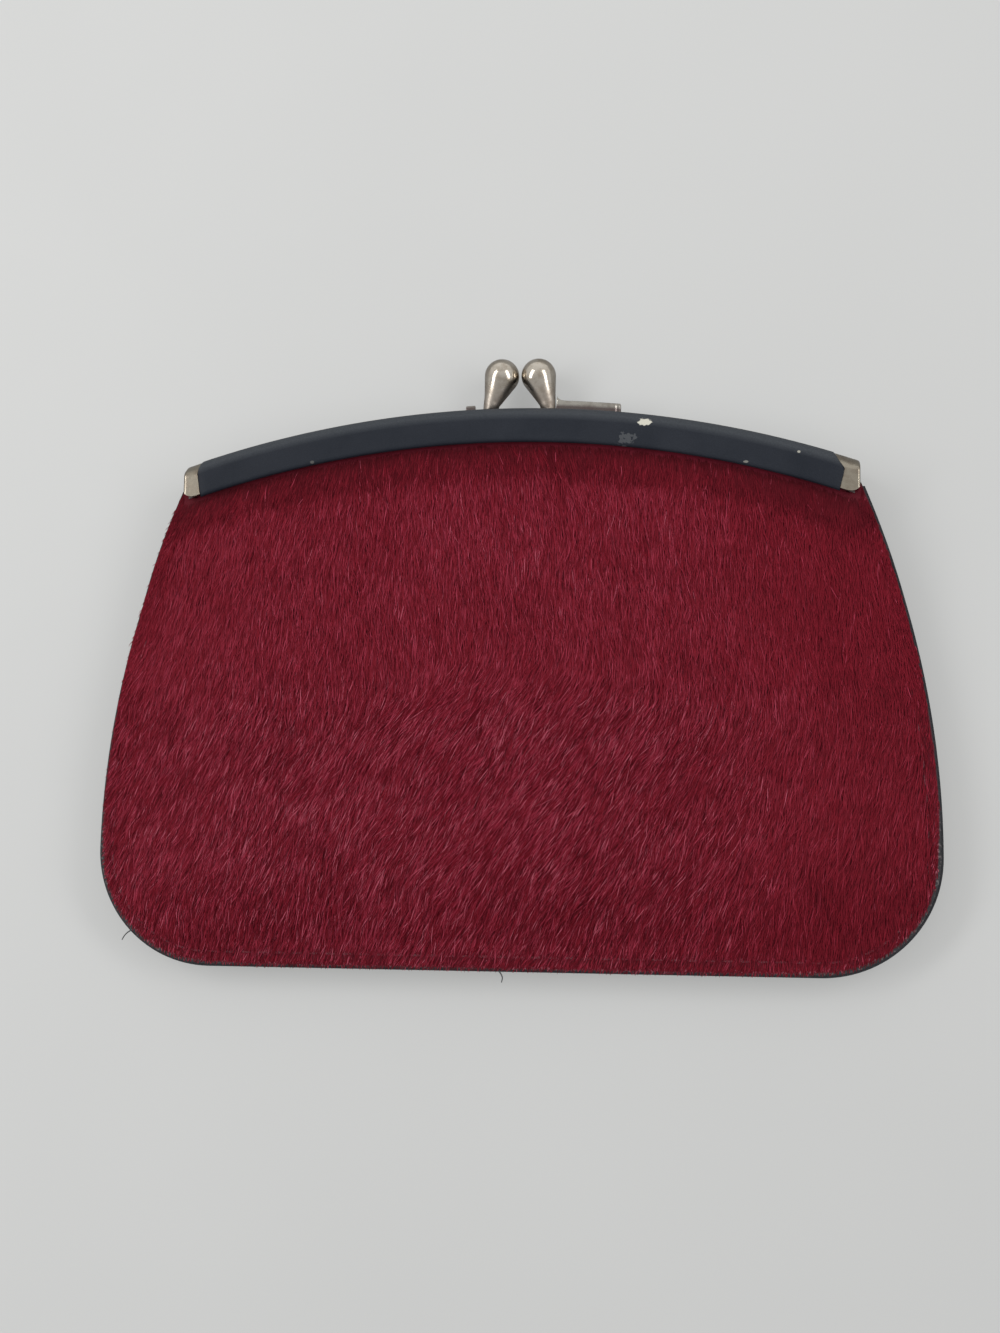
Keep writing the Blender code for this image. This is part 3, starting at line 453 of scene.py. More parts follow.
wearLook = {
    "hairlineScale": (900.0, 5200.0, 3000.0), "hairlineShare": 0.35, "cloudScale": 420.0, "cloudHeight": 0.6,
    "tarnishFrom": 0.42, "tarnishTo": 0.72, "tarnishShare": 0.65,
}


def makeMetalGroup():  # plated metal: hairline scratches, cloudy tarnish and handling marks
    look = wearLook
    group, given, out = newGroup(
        "platedWear",
        [vectorIn, ("Low", "NodeSocketFloat", 0.12), ("High", "NodeSocketFloat", 0.3)],
        [("Roughness", "NodeSocketFloat"), ("Height", "NodeSocketFloat"), ("Tarnish", "NodeSocketFloat")],
    )
    stretched = vectorMaths(group, "MULTIPLY", given["Vector"], look["hairlineScale"])
    hairlines = noise(group, stretched, 1.0, 3.0, 0.7)
    cloud = noise(group, given["Vector"], look["cloudScale"], 4.0, 0.65)
    tarnish = spread(group, cloud, look["tarnishFrom"], look["tarnishTo"])
    dulled = maths(group, "MULTIPLY", tarnish, look["tarnishShare"])
    share = maths(group, "MULTIPLY_ADD", hairlines, look["hairlineShare"], dulled)
    group.links.new(spread(group, share, 0.1, 0.8, given["Low"], given["High"]), out["Roughness"])
    group.links.new(maths(group, "MULTIPLY_ADD", cloud, look["cloudHeight"], hairlines), out["Height"])
    group.links.new(tarnish, out["Tarnish"])
    return group


weaveLook = {"slubScale": (300.0, 2400.0, 300.0), "slubHeight": 0.4, "slubShade": 0.5, "swapSoft": 0.15}


def makeWeaveGroup():  # plain weave: warp and weft humps that swap over from square to square
    look = weaveLook
    group, given, out = newGroup(
        "plainWeave",
        [vectorIn, ("Pitch", "NodeSocketFloat", 9000.0)],
        [("Height", "NodeSocketFloat"), ("Shade", "NodeSocketFloat")],
    )
    humps, halves = [], []
    for part in axes(group, given["Vector"])[:2]:
        turned = maths(group, "MULTIPLY", part, given["Pitch"])
        humps.append(maths(group, "ABSOLUTE", maths(group, "SINE", turned)))
        halves.append(maths(group, "SINE", maths(group, "MULTIPLY", turned, 0.5)))
    over = spread(group, maths(group, "MULTIPLY", *halves), -look["swapSoft"], look["swapSoft"])
    warp = maths(group, "MULTIPLY", humps[0], over)
    weft = maths(group, "MULTIPLY", humps[1], maths(group, "SUBTRACT", 1.0, over))
    height = maths(group, "ADD", warp, weft)
    shade = maths(group, "MULTIPLY", height, 0.5)
    slub = noise(group, vectorMaths(group, "MULTIPLY", given["Vector"], look["slubScale"]), 1.0, 3.0)
    group.links.new(maths(group, "MULTIPLY_ADD", slub, look["slubHeight"], height), out["Height"])
    group.links.new(maths(group, "MULTIPLY_ADD", slub, look["slubShade"], shade), out["Shade"])
    return group


def makeArchGroup():  # level distance from the middle of the frame's arch
    group, given, out = newGroup("archReach", [vectorIn], [("Radius", "NodeSocketFloat")])
    away = vectorMaths(group, "SUBTRACT", given["Vector"], (0.0, wallet["archCentreY"], 0.0))
    level = vectorMaths(group, "MULTIPLY", away, (1.0, 1.0, 0.0))
    group.links.new(vectorMaths(group, "LENGTH", level), out["Radius"])
    return group


leatherGrain = makeGrainGroup()
wornSpot = makeSpotGroup()
platedWear = makeMetalGroup()
plainWeave = makeWeaveGroup()
archReach = makeArchGroup()


# A new material: constants go straight onto the shader. Gives it, its nodes, its shader's inputs and the point
def startFinish(name, **constants):
    made = bpy.data.materials.new(name)
    made.use_nodes = True
    tree = made.node_tree
    shader = tree.nodes["Principled BSDF"]
    for key, value in constants.items():
        shader.inputs[key.replace("_", " ")].default_value = value
    point = tree.nodes.new("ShaderNodeTexCoord").outputs["Object"]
    return made, tree, shader.inputs, point


# Colour and roughness go to the shader, and so does the bump of a height where one is given
def fillShader(tree, inputs, colour, rough, height=None, depth=0.0):
    tree.links.new(colour, inputs["Base Color"])
    tree.links.new(rough, inputs["Roughness"])
    if height is not None:
        bump = place(tree, "ShaderNodeBump", Strength=1.0, Distance=depth, Height=height)
        tree.links.new(bump.outputs[0], inputs["Normal"])


# Finishes

# The light and glint stops are paler hairs and also painted sheen, standing in for the hairs' highlights
furFinish = {
    "dark": rgb(84, 3, 19), "mid": rgb(125, 16, 35), "light": rgb(160, 50, 72), "glint": rgb(182, 86, 104),
    "midAt": 0.45, "lightAt": 0.85, "rootShade": 0.50, "rootLength": 0.55, "roughDark": 0.72, "roughLight": 0.50,
}


# Each hair takes its shade from across its map and darkens to its root along it
def makeFur():
    look = furFinish
    made, tree, inputs, _ = startFinish("dyedFur", Specular_IOR_Level=0.14)
    parts = axes(tree, place(tree, "ShaderNodeUVMap", {"uv_map": "OFBake"}).outputs[0])
    ramp = tree.nodes.new("ShaderNodeValToRGB")
    stops = ramp.color_ramp.elements
    stops[0].color, stops[1].color = look["dark"], look["glint"]
    stops[1].position = 1.0
    for shade in ("mid", "light"):
        stops.new(look[shade + "At"]).color = look[shade]
    tree.links.new(parts[0], ramp.inputs[0])
    root = spread(tree, parts[1], 0.0, look["rootLength"], look["rootShade"], 1.0)
    grey = place(tree, "ShaderNodeCombineColor", at0=root, at1=root, at2=root).outputs[0]
    rough = spread(tree, parts[0], 0.0, 1.0, look["roughDark"], look["roughLight"])
    fillShader(tree, inputs, mixColour(tree, 1.0, ramp.outputs[0], grey, "MULTIPLY"), rough)
    return made


# The dyed skin under the fur. Its ranges are distances in from its rubbed edge, or heights along the wallet
skinFinish = {
    "low": rgb(84, 10, 24), "high": rgb(108, 18, 38), "frayed": rgb(158, 84, 98),
    "bareLow": rgb(52, 52, 54), "bareHigh": rgb(98, 92, 92), "bare": 0.0003, "rim": 0.0014,
    "seamStarts": (0.0022, 0.0030), "seamEnds": (0.0036, 0.0046), "seamShare": 0.6, "wornBelow": (-0.034, -0.024),
    "fleckScale": 1300.0, "flecks": (0.54, 0.64), "scale": 3200.0, "depth": 0.00006, "rough": (0.62, 0.8),
}


# Skin scuffed at the bottom along its edge and beside the seam, and bare leather where the edge is rubbed
def makeSkin():
    look = skinFinish
    made, tree, inputs, point = startFinish("dyedSkin", Specular_IOR_Level=0.2)
    edge = place(tree, "ShaderNodeAttribute", {"attribute_name": "edge"}).outputs["Fac"]
    grain = useGroup(tree, leatherGrain, vector=point, scale=look["scale"])
    base = mixColour(tree, grain["Patch"], look["low"], look["high"])
    low = spread(tree, axes(tree, point)[1], *look["wornBelow"], 1.0, 0.0)
    spots = spread(tree, noise(tree, point, look["fleckScale"], 3.0), *look["flecks"])
    flecks = maths(tree, "MULTIPLY", spots, low)
    rim = spread(tree, edge, look["bare"], look["rim"], 1.0, 0.0)
    pastSeam = spread(tree, edge, *look["seamEnds"], 1.0, 0.0)
    beside = maths(tree, "MULTIPLY", spread(tree, edge, *look["seamStarts"]), pastSeam)
    scuffed = maths(tree, "MAXIMUM", rim, maths(tree, "MULTIPLY", beside, look["seamShare"]))
    worn = maths(tree, "MULTIPLY", flecks, scuffed, clamp=True)
    bare = spread(tree, edge, 0.0, look["bare"], 1.0, 0.0)
    leather = mixColour(tree, flecks, look["bareLow"], look["bareHigh"])
    colour = mixColour(tree, bare, mixColour(tree, worn, base, look["frayed"]), leather)
    rough = spread(tree, grain["Crease"], 0.0, 1.0, *look["rough"])
    fillShader(tree, inputs, colour, rough, grain["Height"], look["depth"])
    return made


leatherFinish = {
    "cover": {
        "deep": rgb(22, 28, 38), "worn": rgb(40, 44, 52), "scale": 2400.0,
        "low": 0.46, "high": 0.60, "depth": 0.00004, "shine": 0.20,
    },
    "gusset": {
        "deep": rgb(38, 39, 44), "worn": rgb(66, 67, 71), "scale": 2800.0,
        "low": 0.48, "high": 0.66, "depth": 0.00010, "shine": 0.35,
    },
}
# The rubbed tint on the covers' rounded upper edge is partly wear and partly painted sheen from the light above
leatherTints = {
    "crease": rgb(16, 18, 24), "rubbed": rgb(70, 74, 79), "smears": rgb(122, 124, 126), "chips": rgb(206, 203, 190),
    "patchShare": 0.75, "creaseShare": 0.30, "rubbedShare": 0.80, "rubbedSheenBelow": 0.0004, "rubbedSheenAbove": 0.0010,
}
# Chips that show the pale base, and grey smears: centre x, y and half sizes, in mm, raggedness, strength
coverMarks = {
    "smears": [(22.9, 45.2, 1.6, 1.3, 3.4, 0.26)],
    "chips": [
        (26.5, 48.7, 1.5, 0.75, 1.6, 1.0), (57.6, 42.1, 0.36, 0.30, 0.5, 0.55),
        (47.0, 40.15, 0.55, 0.24, 0.9, 0.30), (-42.5, 41.0, 0.40, 0.32, 0.7, 0.13),
    ],
}
spotDepth = {"under": 0.0004, "reach": 0.003, "chipRough": 0.75, "chipHeight": -1.2}


# Leather from its grain. Where marks are given, its rounded upper edge is lighter grey, partly rubbed and partly
# painted sheen, and the marks lie over it
def makeLeather(name, look, marks=None):
    made, tree, inputs, point = startFinish(name, Specular_IOR_Level=look["shine"])
    grain = useGroup(tree, leatherGrain, vector=point, scale=look["scale"])
    tints = leatherTints
    patch = maths(tree, "MULTIPLY", grain["Patch"], tints["patchShare"])
    colour = mixColour(tree, patch, look["deep"], look["worn"])
    if marks:
        # painted sheen and rubbing: the rounded upper edge turns lighter grey
        radius = useGroup(tree, archReach, vector=point)["Radius"]
        edge = wallet["frameRadius"] - wallet["frameRounding"]
        low, high = edge - tints["rubbedSheenBelow"], edge + tints["rubbedSheenAbove"]
        rubbed = spread(tree, radius, low, high, 0.0, tints["rubbedShare"])
        colour = mixColour(tree, rubbed, colour, tints["rubbed"])
    crease = maths(tree, "MULTIPLY", grain["Crease"], tints["creaseShare"])
    colour = mixColour(tree, crease, colour, tints["crease"])
    rough = spread(tree, grain["Patch"], 0.0, 1.0, look["low"], look["high"])
    height = grain["Height"]
    z = wallet["middleZ"] + wallet["coverOut"] - spotDepth["under"]
    for kind, spots in (marks or {}).items():
        for x, y, wide, high, ragged, strength in spots:
            centre, size = (x / 1000, y / 1000, z), (wide / 1000, high / 1000, spotDepth["reach"])
            spot = useGroup(tree, wornSpot, vector=point, centre=centre, size=size, ragged=ragged)["Mask"]
            spot = maths(tree, "MULTIPLY", spot, strength)
            colour = mixColour(tree, spot, colour, tints[kind])
            if kind == "chips":
                rough = maths(tree, "MAXIMUM", rough, maths(tree, "MULTIPLY", spot, spotDepth["chipRough"]))
                height = maths(tree, "MULTIPLY_ADD", spot, spotDepth["chipHeight"], height)
    fillShader(tree, inputs, colour, rough, height, look["depth"])
    return made


metalFinish = {
    "nickel": {
        "bright": rgb(206, 198, 186), "dull": rgb(160, 148, 132), "low": 0.10, "high": 0.26, "depth": 0.000012,
    },
    "capNickel": {
        "bright": rgb(160, 152, 138), "dull": rgb(128, 116, 103), "low": 0.20, "high": 0.33, "depth": 0.00001,
    },
    "barNickel": {
        "bright": rgb(172, 168, 160), "dull": rgb(130, 124, 116), "low": 0.22, "high": 0.38, "depth": 0.00002,
    },
    "steel": {"bright": rgb(150, 149, 146), "dull": rgb(98, 94, 88), "low": 0.30, "high": 0.5, "depth": 0.00002},
}
metalTints = {
    "paintedShade": rgb(84, 72, 72), "paintedShadeShare": 0.85,
    "rubbed": rgb(128, 116, 110), "rubbedShare": 0.5, "rubbedRough": 0.34,
}


# Plate from its wear. Two ranges of distance from the arch's middle may be given: painted shade, from dark to
# plain, and rubbed, from duller and rougher to plain
def makeMetal(name, look, paintedShade=None, rubbed=None):
    made, tree, inputs, point = startFinish(name, Metallic=1.0)
    wear = useGroup(tree, platedWear, vector=point, low=look["low"], high=look["high"])
    colour = mixColour(tree, wear["Tarnish"], look["bright"], look["dull"])
    rough = wear["Roughness"]
    tints = metalTints
    if paintedShade or rubbed:
        radius = useGroup(tree, archReach, vector=point)["Radius"]
    # painted shade: darker close to the frame, where its shadow falls
    if paintedShade:
        colour = mixColour(tree, spread(tree, radius, *paintedShade, tints["paintedShadeShare"], 0.0), colour, tints["paintedShade"])
    if rubbed:
        rough = maths(tree, "ADD", rough, spread(tree, radius, *rubbed, tints["rubbedRough"], 0.0))
        colour = mixColour(tree, spread(tree, radius, *rubbed, tints["rubbedShare"], 0.0), colour, tints["rubbed"])
    fillShader(tree, inputs, colour, rough, wear["Height"], look["depth"])
    return made


liningFinish = {
    "low": rgb(140, 112, 84), "high": rgb(184, 156, 122), "pitch": 9000.0, "depth": 0.00008,
    "top": 1.3, "rough": (0.85, 0.6),
}


def makeLining():  # cloth from the weave, smoother on its humps
    look = liningFinish
    made, tree, inputs, point = startFinish("liningCloth", Sheen_Weight=0.2)
    weave = useGroup(tree, plainWeave, vector=point, pitch=look["pitch"])
    colour = mixColour(tree, weave["Shade"], look["low"], look["high"])
    rough = spread(tree, weave["Height"], 0.0, look["top"], *look["rough"])
    fillShader(tree, inputs, colour, rough, weave["Height"], look["depth"])
    return made


fibreFinish = {
    "stiffeningBoard": {
        "low": rgb(120, 112, 98), "high": rgb(172, 162, 144), "stretch": (700.0, 2600.0, 2600.0), "depth": 0.00005,
    },
    "paperCord": {
        "low": rgb(150, 132, 104), "high": rgb(206, 188, 152), "stretch": (900.0, 6000.0, 3200.0), "depth": 0.00006,
    },
}


def makeFibre(name):  # board and paper cord: fibres drawn out one way
    look = fibreFinish[name]
    made, tree, inputs, point = startFinish(name)
    fibres = noise(tree, vectorMaths(tree, "MULTIPLY", point, look["stretch"]), 1.0, 4.0, 0.7)
    colour = mixColour(tree, spread(tree, fibres, 0.3, 0.7), look["low"], look["high"])
    fillShader(tree, inputs, colour, spread(tree, fibres, 0.2, 0.8, 0.95, 0.8), fibres, look["depth"])
    return made


threadFinish = {
    "seamThread": {"low": rgb(72, 14, 28), "high": rgb(118, 42, 56)},
    "looseThread": {"low": rgb(34, 36, 40), "high": rgb(86, 86, 88)},
    "plies": 3, "twist": 9000.0, "depth": 0.00006,
}


def makeThread(name):  # plies wound round the thread's own length, by its map
    made, tree, inputs, _ = startFinish(name, Sheen_Weight=0.15)
    parts = axes(tree, place(tree, "ShaderNodeUVMap", {"uv_map": "threadMap"}).outputs[0])
    twist = maths(tree, "MULTIPLY", parts[1], threadFinish["twist"])
    turn = maths(tree, "MULTIPLY_ADD", parts[0], 2 * math.pi * threadFinish["plies"], twist)
    ply = maths(tree, "ABSOLUTE", maths(tree, "SINE", maths(tree, "MULTIPLY", turn, 0.5)))
    colour = mixColour(tree, ply, threadFinish[name]["low"], threadFinish[name]["high"])
    fillShader(tree, inputs, colour, spread(tree, ply, 0.0, 1.0, 0.9, 0.6), ply, threadFinish["depth"])
    return made


furRed = makeFur()
skinRed = makeSkin()
coverLeather = makeLeather("coverLeather", leatherFinish["cover"], coverMarks)
gussetLeather = makeLeather("gussetLeather", leatherFinish["gusset"])
# the knobs are dull at the neck; the bars' foot, which the front frame shades, and the channels' lip, which passes
# for the shadow beside the caps, get painted shade
frameTop, frameLip = wallet["frameRadius"], wallet["lipRadius"]
nickel = makeMetal("nickelPlate", metalFinish["nickel"], rubbed=(frameTop + 0.0020, frameTop + 0.0062))
capNickel = makeMetal("capNickel", metalFinish["capNickel"])
barNickel = makeMetal("barNickel", metalFinish["barNickel"], paintedShade=(frameTop + 0.0011, frameTop + 0.0017))
steel = makeMetal("channelSteel", metalFinish["steel"], paintedShade=(frameLip + 0.0007, frameLip + 0.0015))
liningCloth = makeLining()
boardFibre = makeFibre("stiffeningBoard")
paperFibre = makeFibre("paperCord")
seamThread = makeThread("seamThread")
looseThread = makeThread("looseThread")
print("finishes made")

# Nodes of the part that show as they are
for finish, names in (
    (steel, ("front_frame", "rear_frame")),
    (boardFibre, ("rear_board",)),
    (paperFibre, ("front_packing_cord", "rear_packing_cord")),
    (nickel, (
        "left_hinge_rivet", "right_hinge_rivet",
        "front_strip_rivet_1", "front_strip_rivet_2", "rear_strip_rivet_1", "rear_strip_rivet_2",
    )),
):
    for nodeName in names:
        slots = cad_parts[nodeName].data.materials
        slots.clear()
        slots.append(finish)


def bendWithJaw(piece):  # its place is baked into its points
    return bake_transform(piece)


def carry(piece, half):  # rides on its own half
    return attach(piece, "front_jaw" if half == "front" else "rear_half")


# Fur: hairs that lie down the hide. Lengths in metres, angles in degrees
fur = {
    "front": {
        "bands": ("frontFurLow", "frontFurMiddle", "frontFurHigh", "frontFurTop"), "seed": 11,
        "spacing": 0.00036, "length": 0.0052, "width": 0.00013, "lift": 0.00062,
    },
    "rear": {
        "bands": ("rearFurLow", "rearFurHigh"), "seed": 47,
        "spacing": 0.00062, "length": 0.0062, "width": 0.00024, "lift": 0.00040,
    },
    "lipSpacing": 0.00022,  # of the further roots along the lip and the upper sides
    "lipBand": 0.0030, "sideBand": 0.0026, "sideFrom": -0.010,  # where these roots are
    "topY": 0.048, "underLip": 0.0002,  # above and past the highest roots
    "clump": 0.00070,  # cell whose hairs lie, draw together and shade alike
    "tuft": 0.0034,  # cell whose hairs bend alike
    "rimLength": 0.0017,
    "shortest": 0.0009,
    "sway": ((0.011, 7), (0.0045, 4)),  # cell and degrees of the slow changes of lean
    "clumpSway": 6,
    "straySides": 7,
    "draw": 0.50,
    "roll": 26,
    "edge": 0.0001,  # from the hide's edge to the outermost root
    "pastEdge": 0.0016,  # how far tips reach over the edge beside the frame
    "rubbed": 0.0005,  # width of the bare edge at the lower corners
    "heldByGroove": 0.93,
    "root": 0.00004,  # depth of a root under the skin's face
}

# Lean of the fur in degrees. Bells are a middle, a width and a height
furLie = {
    "top": -4, "topBell": (-0.078, 0.026, 24),
    "low": 14.5, "lowSlope": -70, "lowBell": (0.005, 0.032, 18),
    "bottom": -8, "bottomY": -0.035, "bottomFade": 0.02,
    "turnY": -0.005, "turnBell": (0.003, 0.022, 0.015), "turnFade": 0.014,
}
# How much the hairs differ: an even share, more on the lower part, and the shares taken off at the sides
furMix = {
    "even": 1.05, "more": 0.75, "moreY": 0.003, "moreFade": 0.015,
    "right": 0.55, "rightX": 0.025, "rightFade": 0.045, "left": 0.15, "leftX": -0.045, "leftFade": 0.02,
}
# Shade from 0, dark, to 1, glint: the even one, the changes to it, and how many hairs glint. Lip is painted shadow
# below the frame
furTone = {
    "even": 0.47, "patches": ((0.013, 0.05), (0.004, 0.05)), "clump": 0.05, "own": 0.17,
    "lip": 0.44, "lipFade": 0.007, "right": 0.09, "rightX": 0.02, "rightFade": 0.06,
    "bottom": 0.08, "bottomY": -0.030, "bottomFade": 0.03, "rim": 0.10, "rimTo": 0.0034, "rimFade": 0.0012,
    "glints": 0.012, "frayedGlints": 0.10, "glintLow": 0.68, "glintHigh": 0.90, "frayed": 0.10,
}

# Skins: each hide without its fur, from the seam up into the frame
pelt = {
    "columns": 97, "cornerRows": 14, "levelRows": 14, "archRows": 44, "slotRows": 4,
    "topGap": 0.0006, "clear": 0.00005,
}


# A shell between the skin's outer face and the hide's inner face. Its attribute edge is each point's distance in
# from the rubbed edge
def makePelt(half):
    wall = walls[half]
    x, y = panelGrid(
        wallet["hideInset"], pelt["topGap"], pelt["columns"],
        pelt["cornerRows"], pelt["levelRows"], pelt["archRows"], pelt["slotRows"], ears=True,
    )
    outer = lift(wall, x, y, skinHeight(wall, x, y))
    inner = lift(wall, x, y, hideHeight(wall, x, y) + pelt["clear"])
    piece = shellPiece(half + "Pelt", outer, inner, skinRed, 60)
    edge = edgeDistance(x, y) - wallet["hideInset"] - fur["rubbed"] * cornerShare(x, y)
    edge = np.concatenate([edge.ravel()] * 2)
    piece.data.attributes.new("edge", "FLOAT", "POINT").data.foreach_set("value", edge.astype(np.float32))
    return piece


bendWithJaw(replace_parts(makePelt("front"), "front_hide_lower", "front_hide_fold", "front_hide_upper"))
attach(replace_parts(makePelt("rear"), "rear_hide"), "rear_half")
print("pelts made")


def bell(x, middle, width, height):  # falls off by half the square of the distance in widths, as an exponent
    return height * np.exp(-((x - middle) / width) ** 2 / 2)


# Lean of the fur from straight down, towards the left: steep on the upper left, slanting all over the lower part
def furLean(x, y):
    top = furLie["top"] + bell(x, *furLie["topBell"])
    low = furLie["low"] + furLie["lowSlope"] * x + bell(x, *furLie["lowBell"])
    low = low + furLie["bottom"] * smooth((furLie["bottomY"] - y) / furLie["bottomFade"])
    turnFrom = furLie["turnY"] + bell(x, *furLie["turnBell"])
    return top + (low - top) * smooth((turnFrom - y) / furLie["turnFade"])


# How much the hairs differ from each other: most on the lower part, least on the upper right
def furContrast(x, y):
    sides = 1 - furMix["right"] * smooth((x - furMix["rightX"]) / furMix["rightFade"])
    sides = sides - furMix["left"] * smooth((furMix["leftX"] - x) / furMix["leftFade"])
    return (furMix["even"] + furMix["more"] * smooth((furMix["moreY"] - y) / furMix["moreFade"])) * sides


# Roots on a shaken square grid over the hide
def furRoots(spacing, rng):
    reach = wallet["bodyWidth"] / 2
    u = np.arange(-reach, reach, spacing)
    v = np.arange(wallet["bottomY"], fur["topY"], spacing)
    x, y = (a.ravel() for a in np.meshgrid(u, v))
    x = x + rng.uniform(-0.5, 0.5, len(x)) * spacing
    y = y + rng.uniform(-0.5, 0.5, len(y)) * spacing
    inEar = (np.abs(x) > wallet["frameHalf"] + wallet["earGap"]) & (y < wallet["earTop"])
    edge = wallet["hideInset"] + fur["edge"] + fur["rubbed"] * cornerShare(x, y)
    keep = (edgeDistance(x, y) > edge) & ((belowLip(x, y) > fur["underLip"]) | inEar)
    return x[keep], y[keep]


# More roots just below the lip and along the upper sides, where no hairs come down from above
def extraRoots(rng):
    x, y = furRoots(fur["lipSpacing"], rng)
    upperSide = (edgeDistance(x, y) < fur["sideBand"]) & (y > fur["sideFrom"])
    keep = (belowLip(x, y) < fur["lipBand"]) | upperSide
    return x[keep], y[keep]


# A value from -1 to 1 for each square cell that a root is in, the same for all its hairs
def perCell(x, y, cell, seed):
    wide, tall = 257, 263
    values = np.random.default_rng(seed).uniform(-1.0, 1.0, (wide, tall))
    return values[np.floor(x / cell).astype(int) % wide, np.floor(y / cell).astype(int) % tall]


# How the hairs' lengths differ, by shares, and where they stop: from the groove, and past or short of the edge
hairSize = {
    "own": (0.72, 1.22), "tuft": 0.14, "rim": (0.7, 1.3), "rimWithin": 0.0006,
    "grooveFrom": -0.0007, "grooveTo": 0.0009, "pastY": -0.008, "pastFade": 0.02,
    "rubbed": 0.6, "ragged": 0.9, "raggedCell": 0.0013, "edgeShake": 0.0005,
}


# How long each hair is. It stops at the seam groove, or short of the hide's edge, or a little past the edge
# beside the frame: then it keeps the share of its length from its root to there
def hairLengths(x, y, down, look, rng, seed):
    count, part = len(x), hairSize
    alike = 1 + part["tuft"] * perCell(x, y, fur["tuft"], seed + 3)
    size = look["length"] * rng.uniform(*part["own"], count) * alike
    root = edgeDistance(x, y)
    onRim = root < wallet["seamInset"] - part["rimWithin"]
    size = np.where(onRim, fur["rimLength"] * rng.uniform(*part["rim"], count), size)
    tip = edgeDistance(x + down[:, 0] * size, y + down[:, 1] * size)
    groove = wallet["seamInset"] + rng.uniform(part["grooveFrom"], part["grooveTo"], count)
    past = fur["pastEdge"] * smooth((y - part["pastY"]) / part["pastFade"]) * rng.uniform(0, 1, count)
    over = wallet["hideInset"] + fur["edge"] - past
    ragged = part["rubbed"] + part["ragged"] * patchNoise(x, y, part["raggedCell"], seed + 8)
    over = over + fur["rubbed"] * cornerShare(x, y) * ragged
    held = (root > groove) & (rng.uniform(0, 1, count) < grooveShare(y) * fur["heldByGroove"])
    stop = np.where(held, groove, over + rng.uniform(0, part["edgeShake"], count))
    share = np.where(tip < stop, (root - stop) / np.maximum(root - tip, 1e-6), 1.0)
    return np.maximum(size * np.clip(share, 0, 1), fur["shortest"])


# Along a hair, from root to tip: share of its length, of its half width, and of its height, which rises fast
# and then levels out
hairSteps = np.array([0.0, 0.36, 0.72, 1.0])
hairWidths = np.array([0.75, 1.0, 0.85, 0.0])
hairRises = 1 - (1 - hairSteps) ** 1.7


# How far the hairs stray from their clump, in shares of its cell or of their length, and how loosely they lie
hairStray = {
    "middle": 0.4, "bend": 0.08, "tuftBend": 0.06,
    "loose": 0.78, "clumpLoose": 0.30, "ownLoose": 0.22, "tightest": 0.25, "loosest": 1.5,
    "shortShare": 0.55, "lowest": 0.3, "lipReach": 0.004, "atLip": 0.35,
}


# Where each hair goes: a share of its length along its lean, a bend to one side, and a draw to its clump's middle.
# Gives ribbons of seven points, each turned about its own length
def furRibbons(half, x, y, rng):
    wall, look, seed = walls[half], fur[half], fur[half]["seed"]
    count = len(x)
    lean = furLean(x, y)
    for number, (cell, degrees) in enumerate(fur["sway"]):
        lean = lean + degrees * patchNoise(x, y, cell, seed + number)
    lean = lean + fur["clumpSway"] * perCell(x, y, fur["clump"], seed + 2) + rng.normal(0, fur["straySides"], count)
    angle = np.radians(lean)
    down = np.stack([-np.sin(angle), -np.cos(angle)], -1)
    size = hairLengths(x, y, down, look, rng, seed)
    cell = fur["clump"]
    part = hairStray
    middleX = (np.floor(x / cell) + 0.5 + part["middle"] * perCell(x, y, cell, seed + 4)) * cell
    middleY = (np.floor(y / cell) + 0.5 + part["middle"] * perCell(x, y, cell, seed + 5)) * cell
    side = np.stack([-down[:, 1], down[:, 0]], -1)
    offset = (middleX - x) * side[:, 0] + (middleY - y) * side[:, 1]
    bend = rng.normal(0, part["bend"], count) + part["tuftBend"] * perCell(x, y, fur["tuft"], seed + 6)
    loose = part["loose"] + part["clumpLoose"] * perCell(x, y, cell, seed + 7)
    loose = loose + part["ownLoose"] * rng.normal(0, 1, count)
    # short hairs and those near the lip lie lower
    short = np.clip(size / (part["shortShare"] * look["length"]), part["lowest"], 1)
    nearLip = np.clip(belowLip(x, y) / part["lipReach"] + part["atLip"], part["lowest"], 1)
    high = look["lift"] * np.clip(loose, part["tightest"], part["loosest"]) * short * nearLip
    roll = np.radians(fur["roll"]) * furContrast(x, y) * rng.uniform(-1, 1, count)
    points = np.zeros((count, 7, 3))
    for k, (step, wide, rise) in enumerate(zip(hairSteps, hairWidths * look["width"] / 2, hairRises)):
        sideways = offset * fur["draw"] * step + bend * size * step**2
        px = x + down[:, 0] * size * step + side[:, 0] * sideways
        py = y + down[:, 1] * size * step + side[:, 1] * sideways
        spine = np.stack([px, py, skinHeight(wall, px, py) + high * rise - fur["root"]], -1)
        flatWide, tallWide = wide * np.cos(roll), wide * np.sin(roll)
        breadth = np.stack([side[:, 0] * flatWide, side[:, 1] * flatWide, tallWide], -1)
        if k < 3:
            points[:, 2 * k] = spine - breadth
            points[:, 2 * k + 1] = spine + breadth
        else:
            points[:, 6] = spine
    points[:, :, 2] = wallet["middleZ"] + wall["side"] * points[:, :, 2]
    return points
